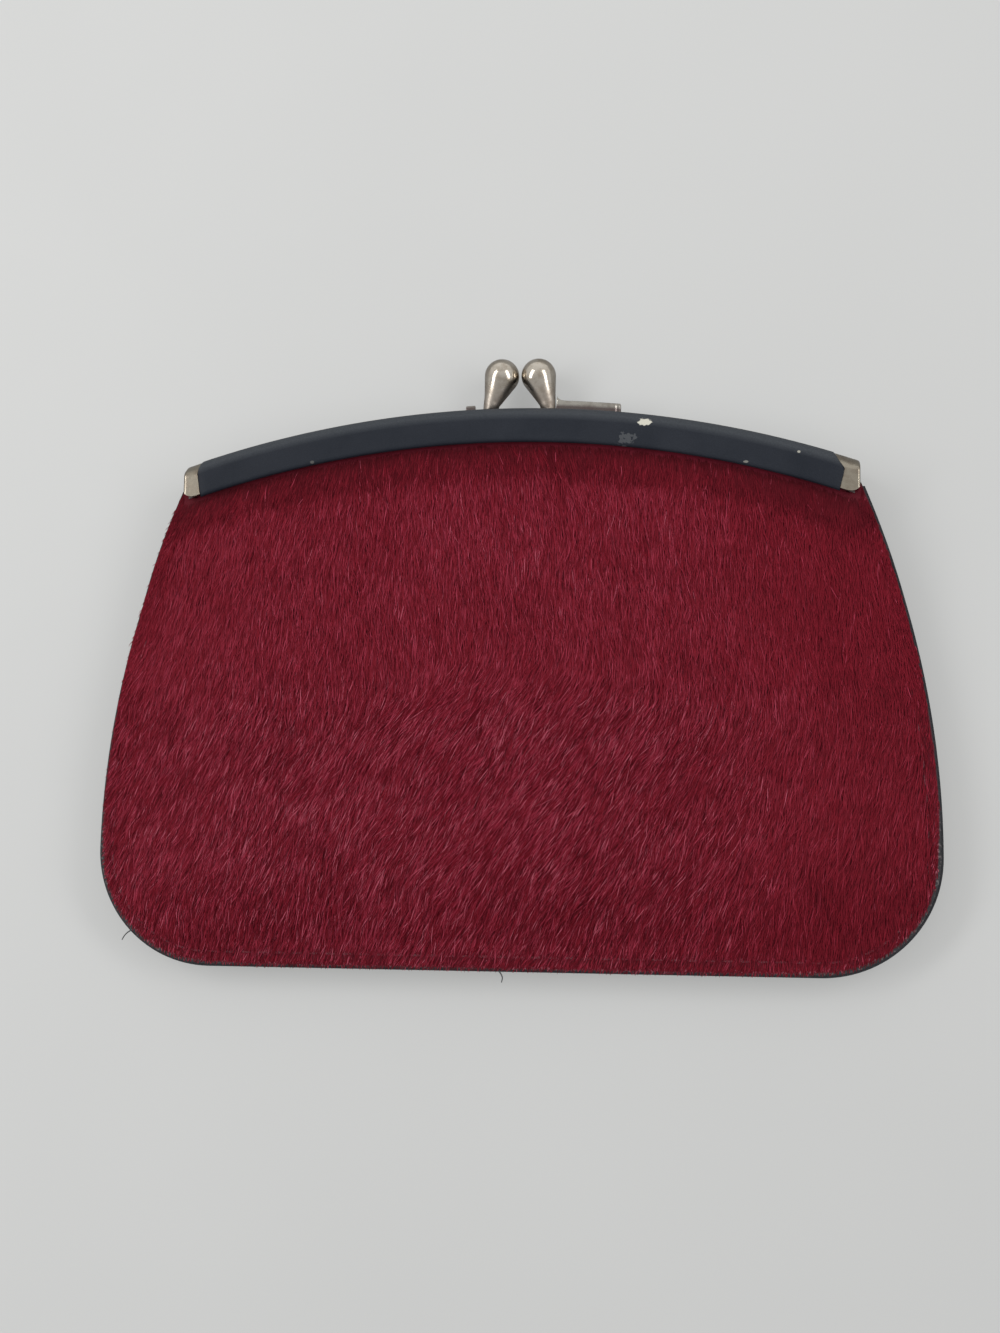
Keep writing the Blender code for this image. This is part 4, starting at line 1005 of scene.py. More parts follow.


# Shade of each hair, 0 dark to 1 glint: patches of hide, clumps and the hair itself, painted shadow under the lip,
# darker on the right, at the bottom and along the rim. A few hairs take painted glints; at the frayed corners more
# of the rim's hairs glint
def furShade(x, y, rng, seed):
    tone = furTone
    own = tone["clump"] * perCell(x, y, fur["clump"], seed + 22) + rng.normal(0, tone["own"], len(x))
    shade = tone["even"]
    for number, (cell, share) in enumerate(tone["patches"]):
        shade = shade + share * patchNoise(x, y, cell, seed + 20 + number)
    shade = shade + own * furContrast(x, y)
    # painted shadow of the frame on the fur just below its lip
    shade = shade - tone["lip"] * smooth((tone["lipFade"] - belowLip(x, y)) / tone["lipFade"])
    shade = shade - tone["right"] * smooth((x - tone["rightX"]) / tone["rightFade"])
    shade = shade - tone["bottom"] * smooth((tone["bottomY"] - y) / tone["bottomFade"])
    rim = smooth((tone["rimTo"] - edgeDistance(x, y)) / tone["rimFade"])
    frayed = rim * cornerShare(x, y)
    glints = rng.uniform(0, 1, len(x)) < tone["glints"] + tone["frayedGlints"] * frayed
    bright = rng.uniform(tone["glintLow"], tone["glintHigh"], len(x)) + tone["frayed"] * frayed
    return np.clip(np.where(glints, bright, shade - tone["rim"] * rim), 0.02, 0.98)


# One band of hairs: two quads and a tip each. Its map gives the shade across and the way along
def furPiece(name, half, points, shade):
    count = len(points)
    first = np.arange(count)[:, None] * 7
    faces = [np.concatenate([first + [0, 1, 3, 2], first + [2, 3, 5, 4]]), first + [4, 5, 6]]
    if half == "rear":
        faces = [f[:, ::-1] for f in faces]
    piece = addMesh(name, points, faces, furRed, 180)
    u = np.stack([shade - 0.008, shade + 0.008] * 3 + [shade], 1)
    v = np.repeat(np.repeat(hairSteps, [2, 2, 2, 1])[None], count, 0)
    flat = np.stack([u, v], -1).reshape(-1, 2)
    corners = np.concatenate([f.ravel() for f in faces])
    layer = piece.data.uv_layers.new(name="OFBake")
    layer.data.foreach_set("uv", np.clip(flat[corners], 0.001, 0.999).astype(np.float32).ravel())
    return piece


def growFur(half):  # the hairs of one hide, in bands from its bottom up
    look = fur[half]
    rng = np.random.default_rng(look["seed"])
    x, y = furRoots(look["spacing"], rng)
    if half == "front":
        x, y = (np.concatenate(pair) for pair in zip((x, y), extraRoots(rng)))
    points = furRibbons(half, x, y, rng)
    shade = furShade(x, y, rng, look["seed"])
    order = np.argsort(y, kind="stable")
    grown = []
    for name, part in zip(look["bands"], np.array_split(order, len(look["bands"]))):
        grown.append(furPiece(name, half, points[part], shade[part]))
        print(name, len(part), "hairs")
    return grown


for piece in growFur("front"):
    bendWithJaw(piece)
for piece in growFur("rear"):
    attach(piece, "rear_half")
print("fur grown")

# Stitches: short humps of thread along the seam, each from a hole to the next
stitch = {
    "length": 0.0023, "gap": 0.0012, "radius": 0.00024, "hump": 0.00014, "sunk": 0.00012,
    "humpPower": 0.6, "thin": 0.55, "swell": 0.45, "blunt": 0.04,
    "sides": 6, "rings": 7, "pathStep": 0.0008, "belowHinge": 0.0045,
}


# Map: round the thread across, length along it. The fans at the ends take their ring's place
def threadMap(piece, rings, sides, spacing, copies):
    u = np.repeat(np.concatenate([np.tile(np.arange(sides) / sides, rings), [0, 0]])[None], copies, 0)
    v = np.repeat(np.concatenate([np.repeat(np.arange(rings), sides), [0, rings - 1]])[None] * spacing, copies, 0)
    flat = np.stack([u.ravel(), v.ravel()], -1)
    corners = np.zeros(len(piece.data.loops), np.int32)
    piece.data.loops.foreach_get("vertex_index", corners)
    layer = piece.data.uv_layers.new(name="threadMap")
    layer.data.foreach_set("uv", flat[corners].astype(np.float32).ravel())


# A stitch's height is a power of a parabola over its length, and its radius a sine's square root
def makeStitches(half):
    wall = walls[half]
    path, _ = outlinePath(wallet["seamInset"], wallet["hingeY"] - stitch["belowHinge"], stitch["pathStep"])
    lengths = pathLengths(path)
    pitch = stitch["length"] + stitch["gap"]
    count = int(lengths[-1] / pitch)
    share = np.linspace(0, 1, stitch["rings"])
    hump = stitch["hump"] * (4 * share * (1 - share)) ** stitch["humpPower"] - stitch["sunk"]
    swell = np.sqrt(np.sin(np.pi * np.clip(share, stitch["blunt"], 1 - stitch["blunt"])))
    radius = stitch["radius"] * (stitch["thin"] + stitch["swell"] * swell)
    points, faceSets, total = [], [[], []], 0
    for k in range(count):
        s = k * pitch + stitch["gap"] / 2 + share * stitch["length"]
        x, y = np.interp(s, lengths, path[:, 0]), np.interp(s, lengths, path[:, 1])
        line = lift(wall, x, y, skinHeight(wall, x, y) + hump)
        made, faces = ringMesh(ropeRings(line, radius, stitch["sides"]))
        for faceSet, f in zip(faceSets, facingOut(made, faces)):
            faceSet.append(f + total)
        points.append(made)
        total += len(made)
    faceSets = [np.concatenate(f) for f in faceSets]
    piece = addMesh(half + "Stitches", np.concatenate(points), faceSets, seamThread)
    threadMap(piece, stitch["rings"], stitch["sides"], stitch["length"] / (stitch["rings"] - 1), count)
    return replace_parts(piece, half + "_seam_thread")


bendWithJaw(makeStitches("front"))
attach(makeStitches("rear"), "rear_half")

# Ends of the seam's thread that stick out past the edge: points of their course, x, y and height in mm
looseEnds = {
    "cornerThread": [
        (-77.6, -55.4, 8.0), (-78.4, -56.0, 8.2), (-79.3, -56.4, 7.8), (-80.2, -57.0, 7.0), (-80.9, -58.0, 6.6),
    ],
    "bottomThread": [
        (-2.4, -61.6, 8.2), (-2.2, -62.6, 8.4), (-1.6, -63.3, 7.8), (-1.3, -64.2, 7.0), (-1.6, -65.1, 6.6),
    ],
}
looseEnd = {"radius": 0.00016, "taper": 0.35, "rings": 25, "sides": 8, "smoothing": 6, "mapStep": 0.0002}


# A tapering rope through the points, each smoothing taking a quarter of both neighbours
def makeLooseEnd(name, knots):
    knots = np.array(knots) / 1000
    share = np.linspace(0, len(knots) - 1, looseEnd["rings"])
    line = np.stack([np.interp(share, np.arange(len(knots)), knots[:, k]) for k in range(3)], -1)
    for _ in range(looseEnd["smoothing"]):
        line[1:-1] = (line[:-2] + 2 * line[1:-1] + line[2:]) / 4
    radius = looseEnd["radius"] * (1 - looseEnd["taper"] * np.linspace(0, 1, len(line)))
    piece = ringPiece(name, ropeRings(line, radius, looseEnd["sides"]), looseThread)
    threadMap(piece, len(line), looseEnd["sides"], looseEnd["mapStep"], 1)
    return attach(piece, "rear_half")


for threadName, threadKnots in looseEnds.items():
    makeLooseEnd(threadName, threadKnots)
print("seams sewn")

# Gusset: a band folded inwards, its two leaves apart by the slit, and slightly wavy
gusset = {
    "depth": 0.011, "endDepth": 0.0045, "taper": 0.028, "step": 0.0012, "belowHinge": 0.00145,
    "leafColumns": 12, "foldColumns": 9, "wave": 0.00005, "waveLength": 0.0043,
}


# Columns run along one leaf in to the fold, half a turn round it, and along the other leaf out again
def makeGusset():
    path, inward = outlinePath(0, wallet["hingeY"] - gusset["belowHinge"], gusset["step"])
    lengths = pathLengths(path)
    fromEnd = np.minimum(lengths, lengths[-1] - lengths)
    depth = gusset["endDepth"] + (gusset["depth"] - gusset["endDepth"]) * smooth(fromEnd / gusset["taper"])
    turn = np.linspace(0, np.pi, gusset["foldColumns"])
    straight = np.linspace(0, 1, gusset["leafColumns"], endpoint=False)
    reach = np.concatenate([straight, np.ones(len(turn)), straight[::-1]])
    wave = gusset["wave"] * np.sin(lengths[:, None] / gusset["waveLength"]) * np.sin(np.pi * reach)
    grids = []
    for high in (wallet["gussetTop"], wallet["gussetIn"]):
        beyond = np.concatenate([0 * straight, np.sin(turn), 0 * straight]) * high
        leaf = np.full(len(straight), high)
        z = np.concatenate([leaf, high * np.cos(turn), -leaf])
        n = (depth[:, None] - wallet["gussetTop"]) * reach + beyond
        x = path[:, 0, None] + inward[:, 0, None] * n
        y = path[:, 1, None] + inward[:, 1, None] * n
        grids.append(np.stack([x, y, wallet["middleZ"] + z[None] + wave], -1))
    piece = shellPiece("gussetBand", grids[0], grids[1], gussetLeather)
    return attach(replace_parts(piece, "gusset"), "rear_half")


makeGusset()

# Strips that line the hide's sides above the hinge: across is a share of the width, tuck one of the thickness
edgeStrip = {
    "footWidth": 0.0024, "topWidth": 0.0014, "thickness": 0.0006, "gap": 0.0003, "rows": 33,
    "belowHinge": 0.0014, "belowEar": 0.0006, "belowShoulder": 0.001,
    "across": (0.0, 0.06, 0.3, 0.6, 0.94, 1.0), "tuck": (0.55, 0.0, 0.0, 0.0, 0.0, 0.55),
}


# A tapering band along the side curve, its long edges drawn together. Beside the frame it is no wider than its gap
def makeEdgeStrip(half, word, way):
    wall = walls[half]
    share = np.linspace(0, 1, edgeStrip["rows"])[:, None]
    low, high = wallet["hingeY"] - edgeStrip["belowHinge"], wallet["earTop"] - edgeStrip["belowEar"]
    y = low + (high - low) * share
    width = edgeStrip["footWidth"] + (edgeStrip["topWidth"] - edgeStrip["footWidth"]) * share
    beside = halfWidth(y, 0.0) - wallet["frameHalf"] - 2 * wallet["earGap"]
    width = np.where(y > wallet["shoulderY"] - edgeStrip["belowShoulder"], np.minimum(width, beside), width)
    across, tuck = (np.array(edgeStrip[key])[None, :] for key in ("across", "tuck"))
    x = halfWidth(y, width * across)
    top = hideHeight(wall, x, y) - edgeStrip["gap"]
    outer = lift(wall, way * x, y + 0 * x, top - tuck * edgeStrip["thickness"] / 2)
    inner = lift(wall, way * x, y + 0 * x, top - edgeStrip["thickness"] * (1 - tuck / 2))
    piece = shellPiece(half + word.capitalize() + "EdgeStrip", outer, inner, gussetLeather)
    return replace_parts(piece, f"{half}_{word}_edge_strip")


for word, way in (("left", -1), ("right", 1)):
    bendWithJaw(makeEdgeStrip("front", word, way))
    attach(makeEdgeStrip("rear", word, way), "rear_half")

# Front boards, then linings and the slip pocket: cloth of even thickness behind the boards
board = {
    "offset": 0.0013, "thickness": 0.0008, "foldGap": 0.0052, "topGap": 0.0009,
    "lowerRows": 40, "upperRows": 22, "columns": 49,
}
lining = {
    "inset": 0.01284, "offset": 0.0021, "thickness": 0.0005, "topGap": 0.0009,
    "ripple": 0.00008, "rippleCells": (0.006, 0.016),
    "columns": 49, "cornerRows": 8, "levelRows": 10, "archRows": 30,
}
slipPocket = {"inset": 0.022, "offset": 0.0028, "thickness": 0.0004, "belowHinge": 0.014, "rows": 24, "columns": 41}
binding = {"width": 0.0040, "offset": 0.0036, "thickness": 0.0005, "rows": 9}


# Both faces of a layer that lies offset inside the hide's inner face, with two ripples of even noise
def layer(half, x, y, offset, thickness, ripple):
    wall = walls[half]
    fine, wide = lining["rippleCells"]
    wave = ripple * (patchNoise(x, y, fine, 5) + patchNoise(x, y, wide, 6)) / 2
    height = hideHeight(wall, x, y) - offset + wave
    return lift(wall, x, y, height + thickness), lift(wall, x, y, height)


# A stretched cloth over what it rests on
def clothPiece(name, half, x, y, part):
    outer, inner = layer(half, x, y, part["offset"], part["thickness"], lining["ripple"])
    piece = shellPiece(name, outer, inner, liningCloth)
    return piece


# Rows run from the bottom to a level top, and columns from side to side of the inset outline
def lowerGrid(inset, lowY, highY, rows, columns):
    y = np.linspace(lowY, highY, rows)[:, None]
    radius = wallet["cornerRadius"] - inset
    drop = np.clip((cornerY - y) / radius, 0, 1)
    half = np.where(y < cornerY, cornerX + radius * np.sqrt(1 - drop**2), halfWidth(y, inset))
    return half * np.linspace(-1, 1, columns)[None], y + 0 * half * np.linspace(-1, 1, columns)[None]


# Rows run from a level start up to the arch under the frame
def upperGrid(inset, lowY, topGap, rows, columns):
    share = np.linspace(0, 1, rows)[:, None]
    sideY = lowY + (wallet["shoulderY"] - topGap - lowY) * share
    x = halfWidth(sideY, inset) * np.linspace(-1, 1, columns)[None]
    return x, lowY + (archY(x, wallet["lipRadius"] - topGap) - lowY) * share


# The front boards stop short of the fold
def makeBoard(name, grid, node):
    outer, inner = layer("front", grid[0], grid[1], board["offset"], board["thickness"], 0.0)
    bendWithJaw(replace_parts(shellPiece(name, outer, inner, boardFibre), node))


innerBottomY, hingeY, across = wallet["bottomY"] + lining["inset"], wallet["hingeY"], board["columns"]
lower = lowerGrid(lining["inset"], innerBottomY, hingeY - board["foldGap"], board["lowerRows"], across)
upper = upperGrid(lining["inset"], hingeY + board["foldGap"], board["topGap"], board["upperRows"], across)
makeBoard("frontBoardLower", lower, "front_board_lower")
makeBoard("frontBoardUpper", upper, "front_board_upper")

gridX, gridY = panelGrid(
    lining["inset"], lining["topGap"], lining["columns"],
    lining["cornerRows"], lining["levelRows"], lining["archRows"],
)
frontLining = clothPiece("frontLining", "front", gridX, gridY, lining)
bendWithJaw(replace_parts(frontLining, "front_lining_lower", "front_lining_fold", "front_lining_upper"))
rearLining = clothPiece("rearLining", "rear", gridX, gridY, lining)
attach(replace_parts(rearLining, "rear_lining"), "rear_half")

pocketLow, mouthY = wallet["bottomY"] + slipPocket["inset"], hingeY - slipPocket["belowHinge"]
across = slipPocket["columns"]
gridX, gridY = lowerGrid(slipPocket["inset"], pocketLow, mouthY, slipPocket["rows"], across)
pocketCloth = clothPiece("pocketCloth", "rear", gridX, gridY, slipPocket)
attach(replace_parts(pocketCloth, "pocket"), "rear_half")
gridX, gridY = lowerGrid(slipPocket["inset"], mouthY - binding["width"], mouthY, binding["rows"], across)
outer, inner = layer("rear", gridX, gridY, binding["offset"], binding["thickness"], 0.0)
pocketBinding = shellPiece("pocketBinding", outer, inner, gussetLeather)
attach(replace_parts(pocketBinding, "pocket_binding"), "rear_half")
print("boards, lining and pocket made")

# Frame covers: leather over the channel, turned in under its lip, its front edge rounded with a soft crease
cover = {
    "thickness": 0.00042, "crease": 0.30, "stations": 170,
    "steps": (14, 13, 5), "lipSteps": 8, "insideSteps": 3,  # on the face, round the edge and down the top
    "lipRound": 0.00045, "lipRise": 0.00015, "turnIn": 0.0011,
    "dent": 0.00009, "dentCell": 0.0065, "wideDent": 0.6, "wideDentCell": 0.017, "innerShare": 0.3,
    "sunk": 0.00022, "sunkFrom": 0.985, "sunkOver": 0.015, "under": 0.00005,
    # where the leather stops short of the frame's end: share up from the lip, distance in mm
    "leftEnd": ([0, 0.3, 0.6, 0.8, 1], [3.7, 3.35, 3.0, 3.05, 3.7]),
    "rightEnd": ([0, 0.4, 0.57, 0.75, 1], [4.1, 3.4, 3.2, 4.3, 5.4]),
}


# Section of the frame's outside, from the lip over the front and the rounded edge to the top and down to the
# middle. The rounded edge is an arc drawn part of the way to its chord, which leaves a crease at each end
def frameSection(drop, crease, faceSteps, roundSteps, topSteps):
    out = wallet["coverOut"] - drop
    top = wallet["frameRadius"] - drop
    size = wallet["frameRounding"]
    face = np.linspace(wallet["lipRadius"], top - size, faceSteps, endpoint=False)
    angle = np.linspace(0, np.pi / 2, roundSteps)
    share = angle / (np.pi / 2)
    arcR, arcH = np.sin(angle), np.cos(angle)
    roundR = top - size + size * (arcR * (1 - crease) + share * crease)
    roundH = out - size + size * (arcH * (1 - crease) + (1 - share) * crease)
    down = np.linspace(out - size, wallet["channelIn"], topSteps + 1)[1:]
    radius = np.concatenate([face, roundR, np.full(topSteps, top)])
    height = np.concatenate([np.full(faceSteps, out), roundH, down])
    return radius, height


# The leather also rolls round the lip: half a turn under it and a short way up inside
def coverSection(drop):
    radius, height = frameSection(drop, cover["crease"], *cover["steps"])
    size = cover["lipRound"] + cover["thickness"] * 0.5 - drop
    middleR = wallet["lipRadius"] + cover["lipRise"]
    middleH = wallet["coverOut"] - cover["lipRound"] - cover["thickness"] * 0.5
    turn = np.linspace(np.pi, 0, cover["lipSteps"], endpoint=False)
    lipR = middleR - size * np.sin(turn)
    lipH = middleH + size * np.cos(turn)
    insideR = middleR + np.linspace(cover["turnIn"], 0, cover["insideSteps"], endpoint=False)
    insideH = np.full(cover["insideSteps"], middleH - size)
    return np.concatenate([insideR, lipR, radius[1:]]), np.concatenate([insideH, lipH, height[1:]])


# Where the leather ends on one side, for each point of a section
def coverEnd(radius, word):
    share = np.clip((radius - wallet["lipRadius"]) / (wallet["frameRadius"] - wallet["lipRadius"]), 0, 1)
    back = np.interp(share, *cover[word + "End"]) / 1000
    return wallet["frameHalf"] - back


def archPoints(wall, x, radius, height):  # points at distances from the arch's middle and off the middle plane
    return lift(wall, x, wallet["archCentreY"] + np.sqrt(radius**2 - x**2), height)


# Its section carried along the arch, dented by two even noises and sunk a little where the leather ends
def makeCover(half):
    wall = walls[half]
    share = np.linspace(-1, 1, cover["stations"])[:, None]
    atEnd = smooth((np.abs(share) - cover["sunkFrom"]) / cover["sunkOver"])
    grids = []
    for drop, sunk in ((0.0, cover["sunk"] * atEnd), (cover["thickness"], 0.0)):
        radius, height = coverSection(drop)
        left, right = coverEnd(radius, "left"), coverEnd(radius, "right")
        x = np.where(share < 0, share * left[None], share * right[None])
        small = patchNoise(x + height, radius + 0 * x, cover["dentCell"], 71)
        wide = patchNoise(x, radius + 0 * x, cover["wideDentCell"], 72)
        dents = cover["dent"] * (small + cover["wideDent"] * wide)
        low = np.where(height > wallet["channelOut"], 1.0, cover["innerShare"])
        dented = height[None] + (dents - sunk) * low - cover["under"]
        grids.append(archPoints(wall, x, radius[None] + 0 * x, dented))
    piece = shellPiece(half + "Cover", grids[0], grids[1], coverLeather, 50)
    return carry(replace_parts(piece, half + "_frame_cover"), half)


makeCover("front")
makeCover("rear")
print("covers made")

# Caps: pressed nickel over the frame's ends, creased, with a rounded lower corner and a closed end
cap = {
    "drop": 0.00016, "crease": 0.62, "wall": 0.0004, "gap": 0.00012, "edge": 0.00045, "edgeFade": 0.003,
    "corner": 0.0029, "climb": 0.0021, "closed": 0.97, "closedRise": 0.0002,
    "steps": (12, 11, 6), "rows": (10, 5, 4),
}


# One face of a cap. Rows run out from the leather's end, round the edge and in over the end plate;
# columns follow the frame's section, lifted at the lip by the rounded corner
def capFace(wall, word, way, drop, shrink):
    radius, height = frameSection(cap["drop"] + drop, cap["crease"], *cap["steps"])
    low, high = wallet["lipRadius"], radius.max()
    end = wallet["frameHalf"] - shrink
    edge = cap["edge"] - shrink
    start = coverEnd(radius, word) + cap["gap"]
    flatRows, turnRows, plateRows = cap["rows"]
    flat = np.linspace(0, 1, flatRows)[:, None]
    turn = np.linspace(0, np.pi / 2, turnRows + 1)[1:, None]
    plate = np.linspace(0, 1, plateRows + 1)[1:, None]
    x = np.concatenate([
        start[None] + (end - edge - start[None]) * flat,
        end - edge + edge * np.sin(turn) + 0 * radius[None],
        end + 0 * plate + 0 * radius[None],
    ])
    sink = np.concatenate([0 * flat, edge * (1 - np.cos(turn)), edge + 0 * plate])
    near = np.concatenate([0 * flat, 0 * turn, plate])
    # the lip's edge climbs along a quarter of an ellipse near the end
    back = np.clip((x - (wallet["frameHalf"] - cap["corner"])) / cap["corner"], 0, 1)
    lowest = low + cap["climb"] * (1 - np.sqrt(np.maximum(1 - back**2, 0.0)))
    share = (radius[None] - low) / (high - low)
    r = lowest + (high - sink * smooth(share * 3 - 2) - lowest) * share
    h = height[None] - sink * smooth((height[None] - wallet["channelIn"]) / cap["edgeFade"])
    r = r + (lowest + cap["closedRise"] - r) * near * cap["closed"] * (height[None] > 0)
    h = h + (wallet["channelIn"] - h) * near * cap["closed"]
    return archPoints(wall, way * x, r, h)


def makeCap(half, word, way):  # a shell between an outer face and one that is smaller by the wall
    outer = capFace(walls[half], word, way, 0.0, 0.0)
    inner = capFace(walls[half], word, way, cap["wall"], cap["wall"])
    piece = shellPiece(half + word.capitalize() + "Cap", outer, inner, capNickel, 28)
    return carry(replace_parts(piece, f"{half}_{word}_cap"), half)


for half in walls:
    makeCap(half, "left", -1)
    makeCap(half, "right", 1)

# Kiss lock: a strip on each half, and a knob on it that leans in over the middle
strips = {
    "front": {
        "from": 0.0052, "to": 0.0113, "barFrom": 0.0094, "barRise": 0.0016, "tab": 0.0, "footShift": 1.4,
        "way": -1,
    },
    "rear": {
        "from": 0.0052, "to": 0.0211, "barFrom": 0.00778, "barRise": 0.0024, "tab": 0.0012, "footShift": 0.0,
        "way": 1,
    },
}
strip = {
    "depth": 0.0043, "thickness": 0.0008, "seat": 0.0004, "step": 0.0002, "rounding": 0.00028,
    "fillet": 0.0009, "filletFade": 0.0005, "tabSwell": 0.00010, "tabFade": 0.0004,
    "pinchTall": 0.8, "pinchThick": 0.6, "rows": 130, "sides": 24,
}
knob = {
    "radius": 0.0036, "centreX": 0.00385, "above": 0.0076, "lean": 0.0024,
    "foot": 0.0012, "lift": 0.0002, "flare": 0.0004, "flareFade": 0.0007, "clear": 0.00002,
    "ballRings": 29, "coneRings": 14, "sides": 56,
}


def squared(wave):  # flattens a sine's crests, which turns a circle into a box with round corners
    return np.sign(wave) * np.abs(wave) ** 0.35


# The strip is a rounded bar: each ring is a box with round corners, in the plane across the bar
def makeStrip(half):
    look = strips[half]
    x = np.linspace(look["from"], look["to"], strip["rows"])
    low = archY(x, wallet["frameRadius"]) - strip["depth"]
    hasTab = look["tab"] > 0  # the rear bar starts in a fillet and ends a little thicker
    atTab = smooth((x - (x[-1] - look["tab"])) / strip["tabFade"]) * hasTab
    onBar = smooth((x - look["barFrom"] + strip["step"]) / strip["step"])
    fillet = strip["fillet"] * np.exp(-np.maximum(x - look["barFrom"], 0) / strip["filletFade"]) * hasTab
    high = archY(x, wallet["frameRadius"]) + strip["seat"] + (look["barRise"] - strip["seat"] + fillet) * onBar
    fromEnd = np.minimum(x - x[0], x[-1] - x)
    size = strip["rounding"]
    pinch = size - np.sqrt(np.maximum(size**2 - np.maximum(size - fromEnd, 0) ** 2, 0.0))
    angle = 2 * np.pi * (np.arange(strip["sides"]) + 0.5) / strip["sides"]
    middle, tall = (low + high) / 2, (high - low) / 2 - pinch * strip["pinchTall"]
    thick = strip["thickness"] / 2 + strip["tabSwell"] * atTab - pinch * strip["pinchThick"]
    y = middle[:, None] + tall[:, None] * squared(np.sin(angle))[None]
    z = wallet["middleZ"] + thick[:, None] * squared(np.cos(angle))[None]
    rings = np.stack([look["way"] * x[:, None] + 0 * y, y, z], -1)
    piece = ringPiece(half + "KnobStrip", rings, barNickel, 50)
    return carry(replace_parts(piece, half + "_knob_strip"), half)


# Profile of a knob along its axis: a flared foot, a cone that touches the ball, and the ball's arc to its pole
def makeKnob(half):
    look = strips[half]
    topY = wallet["archCentreY"] + wallet["frameRadius"]
    ball = np.array([look["way"] * knob["centreX"], topY + knob["above"], wallet["middleZ"]])
    footX = ball[0] + look["way"] * knob["lean"]
    seatY = archY(footX, wallet["frameRadius"]) + strip["seat"]
    foot = np.array([footX, seatY + knob["lift"], wallet["middleZ"]])
    axis = ball - foot
    length = np.linalg.norm(axis)
    axis = axis / length
    taper = math.asin((knob["radius"] - knob["foot"]) / length)
    angle = np.linspace(-taper, np.pi / 2, knob["ballRings"] + 1)[:-1]
    arcAlong, arcRadius = length + knob["radius"] * np.sin(angle), knob["radius"] * np.cos(angle)
    cone = np.linspace(0, 1, knob["coneRings"], endpoint=False)
    along = np.concatenate([cone * arcAlong[0], arcAlong])
    radius = np.concatenate([knob["foot"] + (arcRadius[0] - knob["foot"]) * cone, arcRadius])
    flare = knob["flare"] * np.exp(-along / knob["flareFade"])
    radius = radius + flare
    across = np.array([axis[1], -axis[0], 0.0])
    turn = 2 * np.pi * np.arange(knob["sides"]) / knob["sides"]
    ring = np.cos(turn)[:, None] * across + np.sin(turn)[:, None] * np.array([0, 0, 1.0])
    outwards = np.array([look["way"], 0.0, 0.0])
    spreadOut = look["footShift"] * flare[:, None, None] * outwards
    rings = foot + along[:, None, None] * axis + radius[:, None, None] * ring[None] + spreadOut
    # the first three rings are a level foot on the strip, and the rest stay above it
    rings[:3, :, 1] = foot[1] - knob["lift"] + knob["lift"] / 2 * np.arange(3)[:, None]
    rings[3:, :, 1] = np.maximum(rings[3:, :, 1], foot[1] + knob["clear"])
    piece = ringPiece(half + "Knob", rings, nickel, 60)
    return carry(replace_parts(piece, half + "_knob"), half)


for half in walls:
    makeStrip(half)
    makeKnob(half)
print("lock made")

# Floor, light and camera
studio = {
    "floorHigh": rgb(174, 174, 173),
    "floorLow": rgb(119, 119, 119),
    "floorGlow": rgb(147, 148, 147),
    "floorSlope": (-0.125, 0.158, 0.0),
    "floorFrom": -0.091,
    "floorTo": 0.109,
    "floorHalf": 1.6,
    "floorDrop": 0.00002,
    "floorCloud": 0.03,
    "floorCloudScale": 9.0,
    "floorSpeckScale": 60.0,
    "floorRough": (0.55, 0.7),
    "skyAbove": (1.0, 1.0, 0.995, 1.0),
    "skyBelow": (0.40, 0.40, 0.40, 1.0),
    "backdrop": (0.74, 0.74, 0.74, 1.0),
    "skyStrength": 0.89,
    "lampSize": (0.80, 0.22),
    # place, power and twist in degrees
    "lamps": {"leftLamp": ((-0.60, 0.10, 0.66), 3.1, -22), "rightLamp": ((0.64, 0.08, 0.58), 2.4, 22)},
}


# The floor's colour runs along a slope over it, softened by noise: painted light, lighter to the upper left and
# falling off to the lower right
def makeFloor():
    made, tree, inputs, point = startFinish("paleFloor", Specular_IOR_Level=0.2)
    slant = axes(tree, vectorMaths(tree, "MULTIPLY", point, studio["floorSlope"]))
    cloud = noise(tree, point, studio["floorCloudScale"], 2.0)
    slope = maths(tree, "ADD", slant[0], slant[1])
    soft = maths(tree, "MULTIPLY_ADD", cloud, studio["floorCloud"], slope)
    share = spread(tree, soft, studio["floorFrom"], studio["floorTo"])
    rough = spread(tree, noise(tree, point, studio["floorSpeckScale"], 3.0), 0.2, 0.8, *studio["floorRough"])
    fillShader(tree, inputs, mixColour(tree, share, studio["floorLow"], studio["floorHigh"]), rough)
    inputs["Emission Color"].default_value = studio["floorGlow"]  # paler to the camera alone: a painted glow that lights nothing and lightens the object's shadow on the floor
    tree.links.new(place(tree, "ShaderNodeLightPath").outputs["Is Camera Ray"], inputs["Emission Strength"])
    steps = np.linspace(-1, 1, 9) * studio["floorHalf"]
    x, y = np.meshgrid(steps, steps)
    points = np.stack([x, y, 0 * x - studio["floorDrop"]], -1)
    floor = addMesh("paleFloor", points, [gridFaces(len(steps), len(steps))], made)


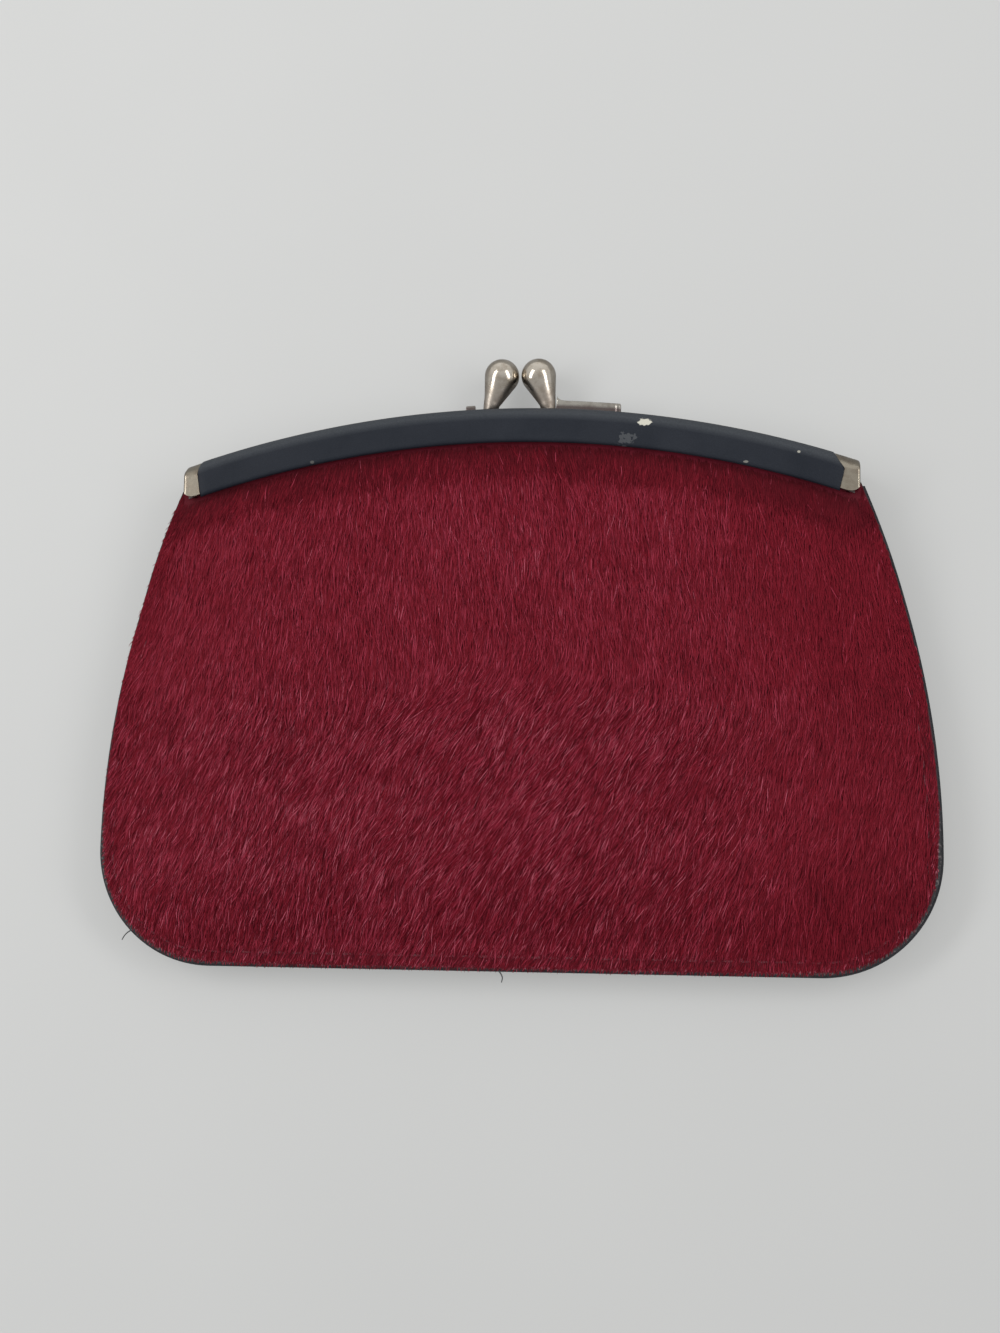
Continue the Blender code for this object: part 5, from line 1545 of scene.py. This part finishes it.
# A long lamp that looks at the object, its upper end turned in towards the middle
def addLamp(name, stand, power, twist):
    data = bpy.data.lights.new(name, "AREA")
    data.shape = "RECTANGLE"
    data.size, data.size_y = studio["lampSize"]
    data.energy = power
    lamp = bpy.data.objects.new(name, data)
    scene.collection.objects.link(lamp)
    lamp.location = stand
    aimed = (-Vector(stand)).to_track_quat("-Z", "Y").to_matrix()
    lamp.rotation_euler = (aimed @ Matrix.Rotation(math.radians(twist), 3, "Z")).to_euler()


# A sky that is lighter beyond the clasp and dimmer on the viewer's side, with an even backdrop for the camera
def makeSky():
    world = bpy.data.worlds.new("plainSky")
    world.use_nodes = True
    tree = world.node_tree
    sky = tree.nodes["Background"].inputs
    towards = axes(tree, tree.nodes.new("ShaderNodeTexCoord").outputs["Generated"])
    light = mixColour(tree, spread(tree, towards[1], -1.0, 1.0), studio["skyBelow"], studio["skyAbove"])
    toCamera = place(tree, "ShaderNodeLightPath").outputs["Is Camera Ray"]
    tree.links.new(mixColour(tree, toCamera, light, studio["backdrop"]), sky["Color"])
    sky["Strength"].default_value = studio["skyStrength"]
    scene.world = world


makeFloor()
for lampName, (stand, power, twist) in studio["lamps"].items():
    addLamp(lampName, stand, power, twist)
makeSky()
print("floor, lamps and sky set")

view = {
    "lens": 60.0,
    "sensor": 36.0,
    "distance": 0.4560,
    "target": (-0.00312, -0.00094, 0.0066),
    "fromRight": 7.83,
    "fromBelow": 7.35,
    "roll": -1.10,
}


# The camera looks down at the target from a little to the right and below, turned about its own line of sight
def makeCamera():
    data = bpy.data.cameras.new("overhead")
    data.lens = view["lens"]
    data.sensor_width = view["sensor"]
    data.clip_start, data.clip_end = 0.01, 20.0
    data.dof.use_dof = False
    right, below = math.radians(view["fromRight"]), math.radians(view["fromBelow"])
    away = np.array([math.tan(right), -math.tan(below), 1.0])
    away = away / np.linalg.norm(away)
    roll = math.radians(view["roll"])
    up = np.array([math.sin(roll), math.cos(roll), 0.0])
    xAxis = np.cross(up, away)
    xAxis /= np.linalg.norm(xAxis)
    yAxis = np.cross(away, xAxis)
    stand = np.array(view["target"]) + away * view["distance"]
    camera = bpy.data.objects.new("overhead", data)
    rows = [[xAxis[k], yAxis[k], away[k], stand[k]] for k in range(3)] + [[0, 0, 0, 1]]
    camera.matrix_world = Matrix(rows)
    scene.collection.objects.link(camera)
    scene.camera = camera


makeCamera()
print("scene ready")
